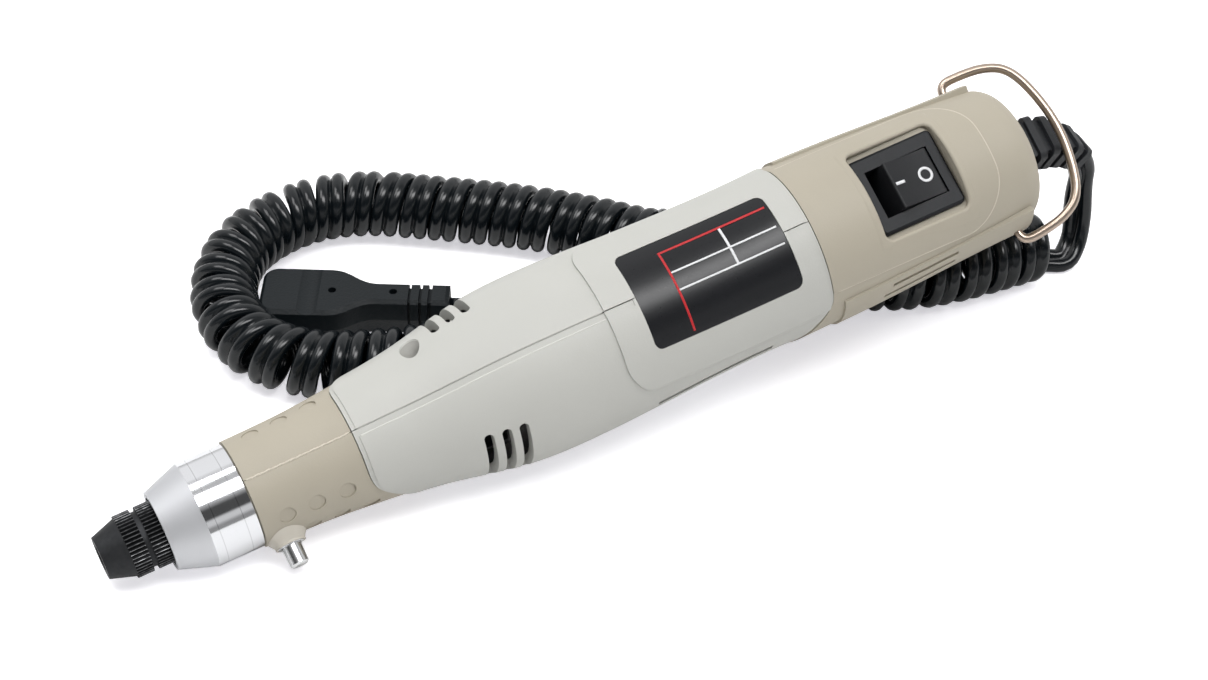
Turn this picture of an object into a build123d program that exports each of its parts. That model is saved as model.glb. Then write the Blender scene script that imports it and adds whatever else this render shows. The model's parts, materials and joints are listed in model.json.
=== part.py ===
from build123d import *
import math
import os

# Micromotor handpiece with its curly cord, lying on a table. Millimetres, +Z up.
# Pieces are drawn in the tool frame: X along the axis towards the cord, origin at the rear
# edge of the clamping collar, +Z to the switch side, -Y to the spindle lock button.

# How the tool lies: it rests on the collar's edge and on the coil under its rear end
TILT = 7.54
ROLL = 31.8

# Clearances
SEAT_GAP = 0.02
RUN_GAP = 0.05
MOULD_GAP = 0.10
JOINT_GAP = 0.15
PIVOT_GAP = 0.08

# Overall sizes, which the outlines below follow: bearing seat, thickest body, end of the housing
BEARING_R = 8.0
BODY_R = 17.15
REAR_END_X = 163.0

# Clamping collar and spindle
SLEEVE_R = BEARING_R + 1.0
COLLAR_R = SLEEVE_R + 1.0
COLLAR_LENGTH = 9.0
COLLAR_FACE_X = -16.0
COLLAR_FACE_R = COLLAR_R - 2.45
SLEEVE_END_X = 16.5
BEARING_BORE_R = 4.0
BEARING_WIDTH = 5.0
BEARING_RING = 1.1
FRONT_BEARING_X = -9.6
REAR_BEARING_X = 9.0
FLANGE_R = 5.2
NOSE_R = 4.5
NOSE_X = -19.2
SHOULDER_X = -12.4
TAIL_R = 2.5
TAIL_END_X = 26.5

# Collet and nut
COLLET_BORE_R = 1.6
COLLET_TAIL_R = 2.55
COLLET_HEAD_R = 3.85
COLLET_FRONT_X = -25.4
COLLET_SLIT = 0.5
NUT_FRONT_X = -27.6
NUT_FACE_R = 4.05
NUT_CONE_R = 5.6
KNURL_R = 6.0
KNURL_DEPTH = 0.38
KNURL_TEETH = 48
KNURL_BANDS = [(-22.9, -19.8), (-18.8, -12.6)]
NUT_GROOVE_R = 5.3

# Spindle lock
LOCK_X = 3.9
LOCK_STEM_R = 1.2
LOCK_PIN_R = 1.8
LOCK_FLANGE_R = 2.4
LOCK_TIP = BEARING_BORE_R + 0.3
LOCK_FLANGE_UNDER = COLLAR_R + 0.3
LOCK_FLANGE_TOP = COLLAR_R + 1.0
LOCK_PIN_TIP = COLLAR_R + 6.1
BUSH_R = 2.95
BUSH_TOP = COLLAR_R + 2.05
BUSH_RIM_R = 2.65
BUSH_SKIRT_R = 3.75
SPACER_FLAT = 0.7

# Motor
CAN_R = BODY_R - 3.3
CAN_X = 51.5
CAN_END_X = 87.0
ENDBELL_X = 92.5
SHAFT_R = 1.15
SHAFT_X = 27.2
SHAFT_END_X = 95.0
MAGNET_R = CAN_R - 0.95
MAGNET_BORE_R = MAGNET_R - 2.5
CORE_R = MAGNET_BORE_R - 0.5
CORE_X = 58.0
CORE_END_X = 78.0
POLES = 5
COMMUTATOR_R = 3.0
FAN_R = CAN_R - 2.45
FAN_X = 42.0
FAN_END_X = 48.5
FAN_BLADES = 9
COUPLING_R = 4.5
COUPLING_X = 20.0
COUPLING_END_X = 36.0
WIRE_R = 0.65

# Moulded body: outlines as (x, share), the share running from the collar's radius to the body's
SHELL_SHARES = [(14, 0.224), (20.9, 0.28), (35.3, 0.503), (50.2, 0.909), (62, 1.0), (114, 0.93)]
GRIP_SHARES = [(-1, 0.046), (0, 0.049), (13.3, 0.105), (20.9, 0.196), (35.3, 0.427), (46, 0.713)]
REAR_SHARES = [(92, 0.881), (113.5, 0.867), (REAR_END_X - 27.0, 0.769), (REAR_END_X - 10.3, 0.622),
               (REAR_END_X - 5.0, 0.552)]
SHELL_OUTLINE = [(x, COLLAR_R + share * (BODY_R - COLLAR_R)) for x, share in SHELL_SHARES]
GRIP_OUTLINE = [(x, COLLAR_R + share * (BODY_R - COLLAR_R)) for x, share in GRIP_SHARES]
REAR_OUTLINE = [(x, COLLAR_R + share * (BODY_R - COLLAR_R)) for x, share in REAR_SHARES]
REAR_CORNER_R = 5.0
SHELL_WALL = 2.0
SPIGOT_WALL = 1.4
REAR_WALL = 2.2
SHELL_X = 20.9
SHELL_FRONT_CORNER = (20.9, 6.5)
SHELL_FRONT_FOOT = (38.5, -14.1)
SHELL_REAR_CORNER = (113.4, 8.0)
SHELL_REAR_FOOT = (99.6, -17.0)
FRONT_CORNER_R = 6.0
REAR_CORNER_BLEND = 5.0
GRIP_SPIGOT_END_X = 34.0
REAR_SPIGOT_X = 95.0
MOTOR_RIBS = [(55.0, 56.6), (83.0, 84.6)]
VENT_X = [42.9, 46.2, 49.4]
VENT_WIDTH = 1.8
VENT_FROM = 48.0
VENT_TO = 106.0
SIDE_SLOT = (76.3, 100.9)
SIDE_SLOT_WIDTH = 1.5
SIDE_SLOT_ANGLE = 86.0
SCREWS = [(37.3, 9.5), (39.2, -9.5)]
SCREW_HEAD_R = 1.9
SCREW_SHANK_R = 1.0
SCREW_BOSS_R = 2.7
SEAM_STRIP = 1.3
SEAM_DEPTH = 0.25
LIP = 0.8
LIP_DEPTH = 0.3
DIMPLE_R = 1.6
DIMPLE_DEPTH = 0.32
DIMPLE_ROWS = [(51.0, (4.9, 10.6, 16.4)), (86.0, (9.1, 14.7, 20.3))]

# Label and its raised pad
PAD_X = 70.7
PAD_HALF_WIDTH = 0.886 * BODY_R
PAD_HEIGHT = 0.45
LABEL = (77.1, 108.1)
LABEL_Y = -0.67
LABEL_HALF_WIDTH = 0.549 * BODY_R
LABEL_THICK = 0.5
LABEL_CORNER_R = 1.5

# Switch
SWITCH_X = REAR_END_X - 27.35
SWITCH_SEAT_Z = REAR_OUTLINE[2][1] - 4.3
BEZEL = (17.9, 15.6, 1.3)
BEZEL_CORNER_R = 1.0
SWITCH_BODY = (15.4, 13.2)
SWITCH_DEPTH = 13.0
ROCKER_OPENING = (13.4, 9.8)
ROCKER_PIVOT_Z = SWITCH_SEAT_Z - 6.0
ROCKER_HALF = 5.05
ROCKER_WIDTH = 9.4
ROCKER_PEAK = 8.4
ROCKER_VALLEY = 8.1
ROCKER_ROUND = 0.4
ROCKER_TILT = 11.0
ROCKER_PIN_R = 1.0
ROCKER_PIN_REACH = 5.7
TERMINAL = (0.8, 4.8, 6.5)
RIM_HEIGHT = 0.35
RIM_RUN = 1.3
RIM_ROUND = 0.5

# Panel, rails, bail and boot
PANEL_END_X = REAR_END_X - 10.5
PANEL_SHARE = 0.85
PANEL_HEIGHT = 0.16
PANEL_CORNER_R = 9.0
RAIL = (REAR_END_X - 47.2, REAR_END_X - 4.8)
RAIL_FROM = 65.0
RAIL_TO = 115.0
RAIL_HEIGHT = 0.45
BOSS_HEIGHT = 1.25
RAIL_GROOVES = [(72.0, REAR_END_X - 36.6, REAR_END_X - 21.9), (82.0, REAR_END_X - 38.2, REAR_END_X - 22.2)]
BAIL_X = REAR_END_X - 7.25
BAIL_R = 0.85
BAIL_RISE = 15.0
BAIL_HOOK = REAR_OUTLINE[-1][1] - 1.35
BAIL_ARM = REAR_OUTLINE[-1][1] + 4.05
BAIL_OUTLINE = [(BAIL_HOOK, 0), (BAIL_ARM, 0), (BAIL_ARM - 0.3, 12.2)]
BAIL_TOP = 17.9
BAIL_BENDS = [2.0, 5.0]
BAIL_TOP_BEND = 26.0
BOOT_Z = -0.8
BOOT_LENGTH = 18.0
BOOT_DROOP = 60.0
BOOT_ROOT = (10.2, 8.0)
BOOT_TIP = (7.2, 6.0)
BOOT_CORE_SHARE = 0.76
BOOT_RIBS = 6
BOOT_NECK = (9.4, 7.0)
BOOT_FLANGE = (12.6, 9.6)

# Cord, routed over the table: origin under the collar edge, X along the tool, Y away
CORD_D = 4.2
CORD_SIDES = 6
COIL_D = 13.4
COIL_TURNS = 43
COIL_RAMP = 6.0
COIL_START_PHASE = -90.0
COIL_END_PHASE = -90.0
COIL_Z = COIL_D / 2 + SEAT_GAP
COIL_ROUTE = [(176.8, -1.6), (164, -1.6), (150, 1.0), (136, 8.6), (122, 14.3), (106, 18.9), (88, 21.6),
              (70, 23.0), (56, 28.2), (43, 32.0), (31.5, 30.6), (24.6, 38.5), (22.6, 49.5), (26.2, 61.5),
              (35.5, 71.2), (49.5, 75.0), (62.5, 72.2), (76, 63.2), (90, 54.0), (104, 47.0),
              (112, 43.0), (120, 42.2)]
LEAD_DROP = 13.0
LEAD_FOOT = 11.0
TAIL_ROUTE = [(142, 46.5), (152.3, 46.7), (161.2, 37.8), (161.2, 25.6), (152.3, 17.0), (140, 17.0),
              (128, 21.6), (115, 26.8), (102, 30.2), (88, 31.4), (75, 32.0)]

# Plug
PLUG_TAIL = (66.0, 36.1)
PLUG_HEADING = (-0.873, 0.488)
PLUG_LENGTH = 37.0
PLUG_NECK = 14.0
PLUG_FLARE = 24.0
PLUG_WIDTH = 13.4
PLUG_TAIL_WIDTH = 5.8
PLUG_THICK = 8.6
PLUG_DRAFT = 0.7
PLUG_CORNER_R = 3.0
PLUG_PLATES = [(3.4, 4.1), (5.3, 5.9), (7.5, 8.0)]
PLUG_HOLES = [11.0, 23.0]
PLUG_BAND = (27.5, 4.0, 0.7)
CONTACT_R = 1.9
CONTACT_BORE_R = 1.25
CONTACT_DEPTH = 13.0
CONTACT_PITCH = 7.0


def turned(*points):
    """Solid of revolution about X from a closed (x, radius) outline."""
    return revolve(make_face(Polyline(*points, close=True)), Axis.X)


def ring(x0, x1, outer, inner=0.0):
    """Tube or disc about X."""
    return turned((x0, inner), (x1, inner), (x1, outer), (x0, outer))


def skin(outline, depth=0.0):
    """Solid of revolution under a smooth outline, sunk by a depth."""
    points = [(x, r - depth) for x, r in outline]
    first, last = points[0], points[-1]
    edges = [Spline(*points), Line(last, (last[0], 0)), Line((last[0], 0), (first[0], 0))]
    edges.append(Line((first[0], 0), first))
    return revolve(make_face(edges), Axis.X)


def rod(start, end, radius):
    """Round rod between two points."""
    run = Vector(*end) - Vector(*start)
    return extrude(Plane(origin=start, z_dir=run) * Circle(radius), run.length)


def block(x0, x1, y0, y1, z0, z1):
    """Box from limits."""
    size = Box(x1 - x0, y1 - y0, z1 - z0)
    return Pos((x0 + x1) / 2, (y0 + y1) / 2, (z0 + z1) / 2) * size


def sector(x0, x1, inner, outer, start, stop):
    """Part of a tube about X, between two angles counted from +Z towards -Y."""
    face = make_face(Polyline((x0, 0, inner), (x1, 0, inner), (x1, 0, outer), (x0, 0, outer), close=True))
    return revolve(Rot(start, 0, 0) * face, Axis.X, stop - start)


def side_prism(points, corner, radius):
    """Side-view outline, with one rounded corner, run right through along Y."""
    face = make_face(Polyline(*points, close=True))
    picked = [v for v in face.vertices() if abs(v.X - corner[0]) < 1e-6 and abs(v.Y - corner[1]) < 1e-6]
    return extrude(Plane.XZ * fillet(picked, radius), 40, both=True)


def radius_at(outline, x):
    """Radius of an outline, straight between its points."""
    for (x0, r0), (x1, r1) in zip(outline, outline[1:]):
        if x0 <= x <= x1:
            return r0 + (r1 - r0) * (x - x0) / (x1 - x0)
    return outline[-1][1]


def half(shape, side):
    """The +Y or -Y half of a moulding, short of the seam."""
    gap = JOINT_GAP / 2
    if side > 0:
        return shape & block(-40, 200, gap, 40, -40, 40)
    return shape & block(-40, 200, -40, -gap, -40, 40)


parts = {}


def make_nose():
    """Nut, collet, spindle, collar, bearings and coupling."""
    star = []
    for tooth in range(KNURL_TEETH):
        for step, r in ((0.0, KNURL_R), (0.5, KNURL_R - KNURL_DEPTH)):
            angle = 2 * math.pi * (tooth + step) / KNURL_TEETH
            star.append((r * math.cos(angle), r * math.sin(angle)))
    knurl = make_face(Polyline(*star, close=True))
    nut_end = KNURL_BANDS[-1][1]
    cone_end = KNURL_BANDS[0][0]
    nut = turned((NUT_FRONT_X, 0), (NUT_FRONT_X, NUT_FACE_R), (cone_end, NUT_CONE_R),
                 (cone_end, NUT_GROOVE_R), (nut_end, NUT_GROOVE_R), (nut_end, 0))
    for x0, x1 in KNURL_BANDS:
        nut += extrude(Plane(origin=(x0, 0, 0), z_dir=(1, 0, 0)) * knurl, x1 - x0)
    mouth = COLLET_TAIL_R - 0.15
    cone_x = COLLET_FRONT_X - 0.2
    head_x = COLLET_FRONT_X + 3.2
    nut -= turned((NUT_FRONT_X - 1, 0), (NUT_FRONT_X - 1, mouth), (cone_x, mouth),
                  (head_x, COLLET_HEAD_R + 0.1), (head_x, COLLET_HEAD_R + 0.35),
                  (NOSE_X - 0.4, COLLET_HEAD_R + 0.35), (NOSE_X - 0.4, NOSE_R + RUN_GAP),
                  (nut_end + 1, NOSE_R + RUN_GAP), (nut_end + 1, 0))
    parts["collet_nut"] = nut

    tail_x = SHOULDER_X + 3.4
    collet = turned((COLLET_FRONT_X, COLLET_BORE_R), (COLLET_FRONT_X, mouth - 0.05),
                    (head_x + 0.1, COLLET_HEAD_R), (head_x + 1.2, COLLET_HEAD_R),
                    (head_x + 3.6, COLLET_TAIL_R), (tail_x, COLLET_TAIL_R), (tail_x, COLLET_BORE_R))
    for turn in range(3):
        slit = block(COLLET_FRONT_X - 1, tail_x - 3, -COLLET_SLIT / 2, COLLET_SLIT / 2, 0, 6)
        collet -= Rot(120 * turn, 0, 0) * slit
    parts["collet"] = collet

    seat = BEARING_BORE_R - SEAT_GAP
    seat_end = REAR_BEARING_X + BEARING_WIDTH
    spindle = turned((NOSE_X, 0), (NOSE_X, NOSE_R), (SHOULDER_X, NOSE_R), (SHOULDER_X, FLANGE_R),
                     (FRONT_BEARING_X - SEAT_GAP, FLANGE_R), (FRONT_BEARING_X - SEAT_GAP, seat),
                     (seat_end, seat), (seat_end, TAIL_R), (TAIL_END_X, TAIL_R), (TAIL_END_X, 0))
    bore = COLLET_TAIL_R + RUN_GAP
    spindle -= turned((NOSE_X - 1, 0), (NOSE_X - 1, 3.8), (NOSE_X + 1, bore), (tail_x + 1, bore),
                      (tail_x + 1, 0))
    hole = LOCK_STEM_R + 0.15
    spindle -= rod((LOCK_X, -6, 0), (LOCK_X, 6, 0), hole)
    spindle -= rod((LOCK_X, 0, -6), (LOCK_X, 0, 6), hole)
    parts["spindle"] = spindle

    step = FRONT_BEARING_X - SEAT_GAP
    bore = BEARING_R + SEAT_GAP
    edge = 0.3
    collar = turned((COLLAR_FACE_X, 6.5), (COLLAR_FACE_X, COLLAR_FACE_R), (-COLLAR_LENGTH, COLLAR_R),
                    (-edge, COLLAR_R), (0, COLLAR_R - edge), (0, SLEEVE_R), (SLEEVE_END_X, SLEEVE_R),
                    (SLEEVE_END_X, bore), (step, bore), (step, 6.5))
    collar -= rod((LOCK_X, -12, 0), (LOCK_X, -6, 0), BUSH_R + MOULD_GAP)
    parts["nose_collar"] = collar

    for name, x in (("front", FRONT_BEARING_X), ("rear", REAR_BEARING_X)):
        end = x + BEARING_WIDTH
        groove = BEARING_R - BEARING_RING
        lip = BEARING_BORE_R + BEARING_RING + 0.35
        outer = turned((x, BEARING_R), (end, BEARING_R), (end, lip), (end - 0.4, lip),
                       (end - 0.4, groove), (x + 0.4, groove), (x + 0.4, lip), (x, lip))
        parts[name + "_bearing_outer"] = outer
        parts[name + "_bearing_inner"] = ring(x, end, BEARING_BORE_R + BEARING_RING, BEARING_BORE_R)
    front_end = FRONT_BEARING_X + BEARING_WIDTH
    spacer = ring(front_end + SEAT_GAP, REAR_BEARING_X - SEAT_GAP, BEARING_R - SEAT_GAP, 6.6)
    spacer -= rod((LOCK_X, -12, 0), (LOCK_X, 0, 0), LOCK_STEM_R + 0.15)
    flat = BUSH_R + MOULD_GAP
    spacer -= block(LOCK_X - flat, LOCK_X + flat, -10, SPACER_FLAT - BEARING_R, -flat, flat)
    parts["bearing_spacer"] = spacer
    clip_x = seat_end + SEAT_GAP
    clip = ring(clip_x, clip_x + 1.0, BEARING_R - SEAT_GAP, BEARING_R - BEARING_RING)
    parts["bearing_circlip"] = clip - sector(clip_x - 1, clip_x + 2, 6, 9, 160, 200)

    coupling = ring(COUPLING_X, COUPLING_END_X, COUPLING_R)
    coupling -= ring(COUPLING_X - 1, SHAFT_X, TAIL_R + SEAT_GAP)
    coupling -= ring(SHAFT_X - 1, COUPLING_END_X + 1, SHAFT_R + SEAT_GAP)
    parts["shaft_coupling"] = coupling


def make_lock():
    """Sprung button that drops a stem into the spindle's cross-drilling."""
    bush = rod((LOCK_X, -BUSH_TOP, 0), (LOCK_X, SPACER_FLAT - BEARING_R - SEAT_GAP, 0), BUSH_R)
    slope = (BUSH_SKIRT_R - BUSH_RIM_R) / (BUSH_TOP - radius_at(GRIP_OUTLINE, LOCK_X))
    low = COLLAR_R - 1.4
    skirt_r = BUSH_RIM_R + slope * (BUSH_TOP - low)
    skirt = make_face(Polyline((LOCK_X, -low), (LOCK_X + skirt_r, -low), (LOCK_X + BUSH_RIM_R, -BUSH_TOP),
                               (LOCK_X, -BUSH_TOP), close=True))
    skirt = revolve(skirt, Axis((LOCK_X, 0, 0), (0, 1, 0))) & block(JOINT_GAP, 20, -20, 0, -20, 20)
    bush += skirt - skin(GRIP_OUTLINE, -SEAT_GAP)
    bush -= rod((LOCK_X, -LOCK_FLANGE_TOP - MOULD_GAP, 0), (LOCK_X, 0, 0), LOCK_FLANGE_R + MOULD_GAP)
    bush -= rod((LOCK_X, -20, 0), (LOCK_X, 0, 0), LOCK_PIN_R + PIVOT_GAP)
    parts["lock_bush"] = bush
    button = rod((LOCK_X, -LOCK_FLANGE_UNDER, 0), (LOCK_X, -LOCK_TIP, 0), LOCK_STEM_R)
    button += rod((LOCK_X, -LOCK_FLANGE_TOP, 0), (LOCK_X, -LOCK_FLANGE_UNDER, 0), LOCK_FLANGE_R)
    pin = rod((LOCK_X, -LOCK_PIN_TIP, 0), (LOCK_X, -LOCK_FLANGE_TOP, 0), LOCK_PIN_R)
    button += chamfer(pin.edges().group_by(Axis.Y)[0], 0.35)
    parts["lock_button"] = button
    low = BEARING_R - SPACER_FLAT + SEAT_GAP
    high = LOCK_FLANGE_UNDER - SEAT_GAP
    wire_r = 0.2
    mean_r = 1.75
    pitch = (high - low - 2 * wire_r) / 2
    helix = Helix(pitch, 2 * pitch, mean_r)
    section = Plane(origin=helix @ 0, z_dir=helix % 0) * RegularPolygon(wire_r, 4)
    spring = Pos(LOCK_X, -low - wire_r, 0) * Rot(90, 0, 0) * sweep(section, helix, is_frenet=True)
    parts["lock_spring"] = spring


def make_motor():
    """Permanent-magnet motor with its rotor, fan and brushes."""
    can = ring(CAN_X, CAN_END_X, CAN_R, MAGNET_R + SEAT_GAP)
    can += ring(CAN_X, CAN_X + 1.0, CAN_R, 2.6)
    can += ring(CAN_X - 1.6, CAN_X + 3.4, 3.4, SHAFT_R + RUN_GAP)
    parts["motor_can"] = can
    magnets = []
    for middle in (0, 180):
        magnets.append(sector(CAN_X + 5, CAN_END_X - 5, MAGNET_BORE_R, MAGNET_R, middle - 65, middle + 65))
    parts["motor_magnets"] = Part() + magnets
    bell = ring(CAN_END_X + SEAT_GAP, ENDBELL_X, CAN_R)
    bell += ring(CAN_END_X - 2.0, CAN_END_X + 1, MAGNET_R - SEAT_GAP, MAGNET_R - 1.4)
    bell -= ring(CAN_END_X - 3, ENDBELL_X - 1.6, MAGNET_R - 1.4)
    bell += ring(ENDBELL_X - 4.0, ENDBELL_X + 1.4, 3.4)
    bell -= ring(CAN_END_X - 3, ENDBELL_X + 3, SHAFT_R + RUN_GAP)
    for side in (-1, 1):
        bell -= block(ENDBELL_X - 3, ENDBELL_X + 3, side * 9 - 0.4, side * 9 + 0.4, -2.05, 2.05)
    parts["motor_endbell"] = bell
    parts["motor_shaft"] = ring(SHAFT_X, SHAFT_END_X, SHAFT_R)

    core = ring(CORE_X, CORE_END_X, CORE_R, SHAFT_R + SEAT_GAP)
    coils = []
    narrow = math.tan(math.pi / POLES)
    for pole in range(POLES):
        turn = Rot(360 * pole / POLES, 0, 0)
        inset = 1.5
        low = 4.0
        high = 8.6
        outline = [(0, low * narrow - inset, low), (0, high * narrow - inset, high),
                   (0, inset - high * narrow, high), (0, inset - low * narrow, low)]
        slot = make_face(Polyline(*outline, close=True))
        core -= turn * Pos(CORE_X - 1, 0, 0) * extrude(slot, CORE_END_X - CORE_X + 2, dir=(1, 0, 0))
        core -= turn * block(CORE_X - 1, CORE_END_X + 1, -0.6, 0.6, high - 0.5, CORE_R + 1)
        thin = offset(slot, -MOULD_GAP)
        coils.append(turn * Pos(CORE_X - 2.2, 0, 0) * extrude(thin, CORE_END_X - CORE_X + 4.4, dir=(1, 0, 0)))
    parts["armature_core"] = core
    parts["armature_windings"] = Part() + coils
    commutator_x = CORE_END_X + 2.6
    commutator = ring(commutator_x, commutator_x + 6, COMMUTATOR_R, SHAFT_R + SEAT_GAP)
    for bar in range(POLES):
        cut = block(commutator_x - 1, commutator_x + 7, -0.2, 0.2, COMMUTATOR_R - 0.7, COMMUTATOR_R + 1)
        commutator -= Rot(360 * bar / POLES + 36, 0, 0) * cut
    parts["commutator"] = commutator

    brushes = []
    arms = []
    brush_x = commutator_x + 3
    for side in (-1, 1):
        lo, hi = sorted((side * (COMMUTATOR_R + 0.12), side * (COMMUTATOR_R + 2.6)))
        brushes.append(block(brush_x - 1.4, brush_x + 1.4, lo, hi, -1.5, 1.5))
        inner, outer = sorted((side * (COMMUTATOR_R + 2.62), side * 9.3))
        arm = block(brush_x - 1.4, brush_x + 1.4, inner, inner + 0.3, -1.5, 1.5)
        if side < 0:
            arm = block(brush_x - 1.4, brush_x + 1.4, outer - 0.3, outer, -1.5, 1.5)
        arm += block(brush_x + 1.0, brush_x + 1.4, inner, outer, -1.5, 1.5)
        arm += block(brush_x + 1.0, ENDBELL_X + 4, side * 9 - 0.3, side * 9 + 0.3, -2.0, 2.0)
        arms.append(arm)
    parts["motor_brushes"] = Part() + brushes
    parts["brush_arms"] = Part() + arms

    fan = ring(FAN_X, FAN_END_X, 2.6)
    fan += ring(FAN_END_X - 0.9, FAN_END_X, FAN_R)
    for blade in range(FAN_BLADES):
        fan += Rot(360 * blade / FAN_BLADES, 0, 0) * block(FAN_X + 1, FAN_END_X - 0.5, -0.4, 0.4, 2.2, FAN_R)
    fan -= ring(FAN_X - 1, FAN_END_X + 1, SHAFT_R + SEAT_GAP)
    parts["cooling_fan"] = fan


def make_body():
    """Grip and shell halves, screws, label and rear housing."""
    fx, fz = SHELL_FRONT_CORNER
    rx, rz = SHELL_REAR_CORNER
    front_run = (SHELL_FRONT_FOOT[0] - fx) / (fz - SHELL_FRONT_FOOT[1])
    rear_run = (rx - SHELL_REAR_FOOT[0]) / (rz - SHELL_REAR_FOOT[1])
    reach = 30.0
    foot_front = fx + front_run * (fz + reach)
    foot_rear = rx - rear_run * (rz + reach)
    shell_zone = side_prism([(fx, reach), (fx, fz), (foot_front, -reach), (60, -reach), (60, reach)],
                            (fx, fz), FRONT_CORNER_R)
    shell_zone += side_prism([(rx, reach), (rx, rz), (foot_rear, -reach), (60, -reach), (60, reach)],
                             (rx, rz), REAR_CORNER_BLEND)
    gap = JOINT_GAP
    grip_zone = side_prism([(0, reach), (fx - gap, reach), (fx - gap, fz), (foot_front - gap, -reach),
                            (0, -reach)], (fx - gap, fz), FRONT_CORNER_R)
    rear_zone = side_prism([(200, reach), (rx + gap, reach), (rx + gap, rz), (foot_rear + gap, -reach),
                            (200, -reach)], (rx + gap, rz), REAR_CORNER_BLEND)

    inner_skin = skin(SHELL_OUTLINE, SHELL_WALL)
    mid_skin = skin(SHELL_OUTLINE, SHELL_WALL / 2)
    spigot_skin = skin(SHELL_OUTLINE, SHELL_WALL + MOULD_GAP)
    spigot_bore = skin(SHELL_OUTLINE, SHELL_WALL + MOULD_GAP + SPIGOT_WALL)

    # Grip halves
    grip = skin(GRIP_OUTLINE) & grip_zone
    grip += spigot_skin & block(17, GRIP_SPIGOT_END_X, -30, 30, -30, 30)
    grip -= ring(-2, SLEEVE_END_X + 0.4, SLEEVE_R + SEAT_GAP)
    grip -= spigot_bore & block(SLEEVE_END_X, 60, -30, 30, -30, 30)
    grip -= ring(SLEEVE_END_X - 1, SLEEVE_END_X + 3, BEARING_R + 0.3)
    for angle, places in DIMPLE_ROWS:
        for x in places:
            floor = radius_at(GRIP_OUTLINE, x) - DIMPLE_DEPTH
            for side in (-1, 1):
                grip -= Rot(side * angle, 0, 0) * rod((x, 0, floor), (x, 0, floor + 3), DIMPLE_R)
    grip -= rod((LOCK_X, -20, 0), (LOCK_X, -5, 0), BUSH_R + MOULD_GAP)
    parts["left_grip"] = half(grip, 1)
    parts["right_grip"] = half(grip, -1)

    # Shell halves with pad, ribs, bosses, vents and slots
    pad = extrude(Pos((PAD_X + 125) / 2, 0, 0) * RectangleRounded(125 - PAD_X, 2 * PAD_HALF_WIDTH, 5), 30)
    label_length = LABEL[1] - LABEL[0]
    label_face = RectangleRounded(label_length, 2 * LABEL_HALF_WIDTH, LABEL_CORNER_R)
    label_at = Pos((LABEL[0] + LABEL[1]) / 2, LABEL_Y, BODY_R / 2)
    label_prism = label_at * extrude(label_face, BODY_R)
    flush = side_prism([(fx + LIP, reach), (fx + LIP, fz), (foot_front + LIP, -reach), (60, -reach),
                        (60, reach)], (fx + LIP, fz), FRONT_CORNER_R)
    flush += side_prism([(rx - LIP, reach), (rx - LIP, rz), (foot_rear - LIP, -reach), (60, -reach),
                         (60, reach)], (rx - LIP, rz), REAR_CORNER_BLEND)
    shell = skin(SHELL_OUTLINE, LIP_DEPTH) & shell_zone
    shell += skin(SHELL_OUTLINE) & flush
    shell += skin(SHELL_OUTLINE, -PAD_HEIGHT) & pad & flush
    shell -= inner_skin
    for x0, x1 in MOTOR_RIBS:
        shell += ring(x0, x1, 20, CAN_R + SEAT_GAP) & mid_skin
    for x, z in SCREWS:
        shell += rod((x, -20, z), (x, 20, z), SCREW_BOSS_R) & mid_skin & shell_zone
    shell -= spigot_skin & block(17, GRIP_SPIGOT_END_X + gap, -30, 30, -30, 30)
    shell -= label_prism - skin(SHELL_OUTLINE, LABEL_THICK + SEAT_GAP - PAD_HEIGHT)
    for side in (-1, 1):
        for x in VENT_X:
            lo, hi = sorted((side * VENT_FROM, side * VENT_TO))
            shell -= sector(x - VENT_WIDTH / 2, x + VENT_WIDTH / 2, 10, 20, lo, hi)
            for angle in (lo, hi):
                shell -= Rot(angle, 0, 0) * rod((x, 0, 10), (x, 0, 20), VENT_WIDTH / 2)
        slot = block(SIDE_SLOT[0], SIDE_SLOT[1], -SIDE_SLOT_WIDTH / 2, SIDE_SLOT_WIDTH / 2, 12, 20)
        shell -= Rot(side * SIDE_SLOT_ANGLE, 0, 0) * slot
    left = half(shell, 1)
    right = half(shell, -1)
    screws = []
    for x, z in SCREWS:
        left -= rod((x, 5.0, z), (x, 20, z), SCREW_HEAD_R + MOULD_GAP)
        left -= rod((x, -1, z), (x, 6, z), SCREW_SHANK_R + MOULD_GAP)
        right -= rod((x, -6.0, z), (x, 1, z), SCREW_SHANK_R + SEAT_GAP)
        screw = rod((x, 5.0 + SEAT_GAP, z), (x, 6.5, z), SCREW_HEAD_R)
        screw += rod((x, -5.5, z), (x, 5.2, z), SCREW_SHANK_R)
        screw -= block(x - 1.2, x + 1.2, 6.0, 7.0, z - 0.3, z + 0.3)
        screw -= block(x - 0.3, x + 0.3, 6.0, 7.0, z - 1.2, z + 1.2)
        screws.append(screw)
    strip = block(SHELL_X - 1, LABEL[0] - 0.6, -SEAM_STRIP, 0, 5, 30)
    strip += block(LABEL[1] + 0.6, 120, -SEAM_STRIP, 0, 5, 30)
    right -= (strip & block(0, PAD_X, -9, 9, 0, 30)) - skin(SHELL_OUTLINE, SEAM_DEPTH)
    right -= (strip & block(PAD_X, 120, -9, 9, 0, 30)) - skin(SHELL_OUTLINE, SEAM_DEPTH - PAD_HEIGHT)
    parts["left_shell"] = left
    parts["right_shell"] = right
    parts["shell_screws"] = Part() + screws
    plate = label_at * extrude(offset(label_face, -MOULD_GAP), BODY_R)
    plate = plate & skin(SHELL_OUTLINE, 0.04 - PAD_HEIGHT)
    parts["rating_label"] = plate - skin(SHELL_OUTLINE, LABEL_THICK - PAD_HEIGHT)

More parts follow.
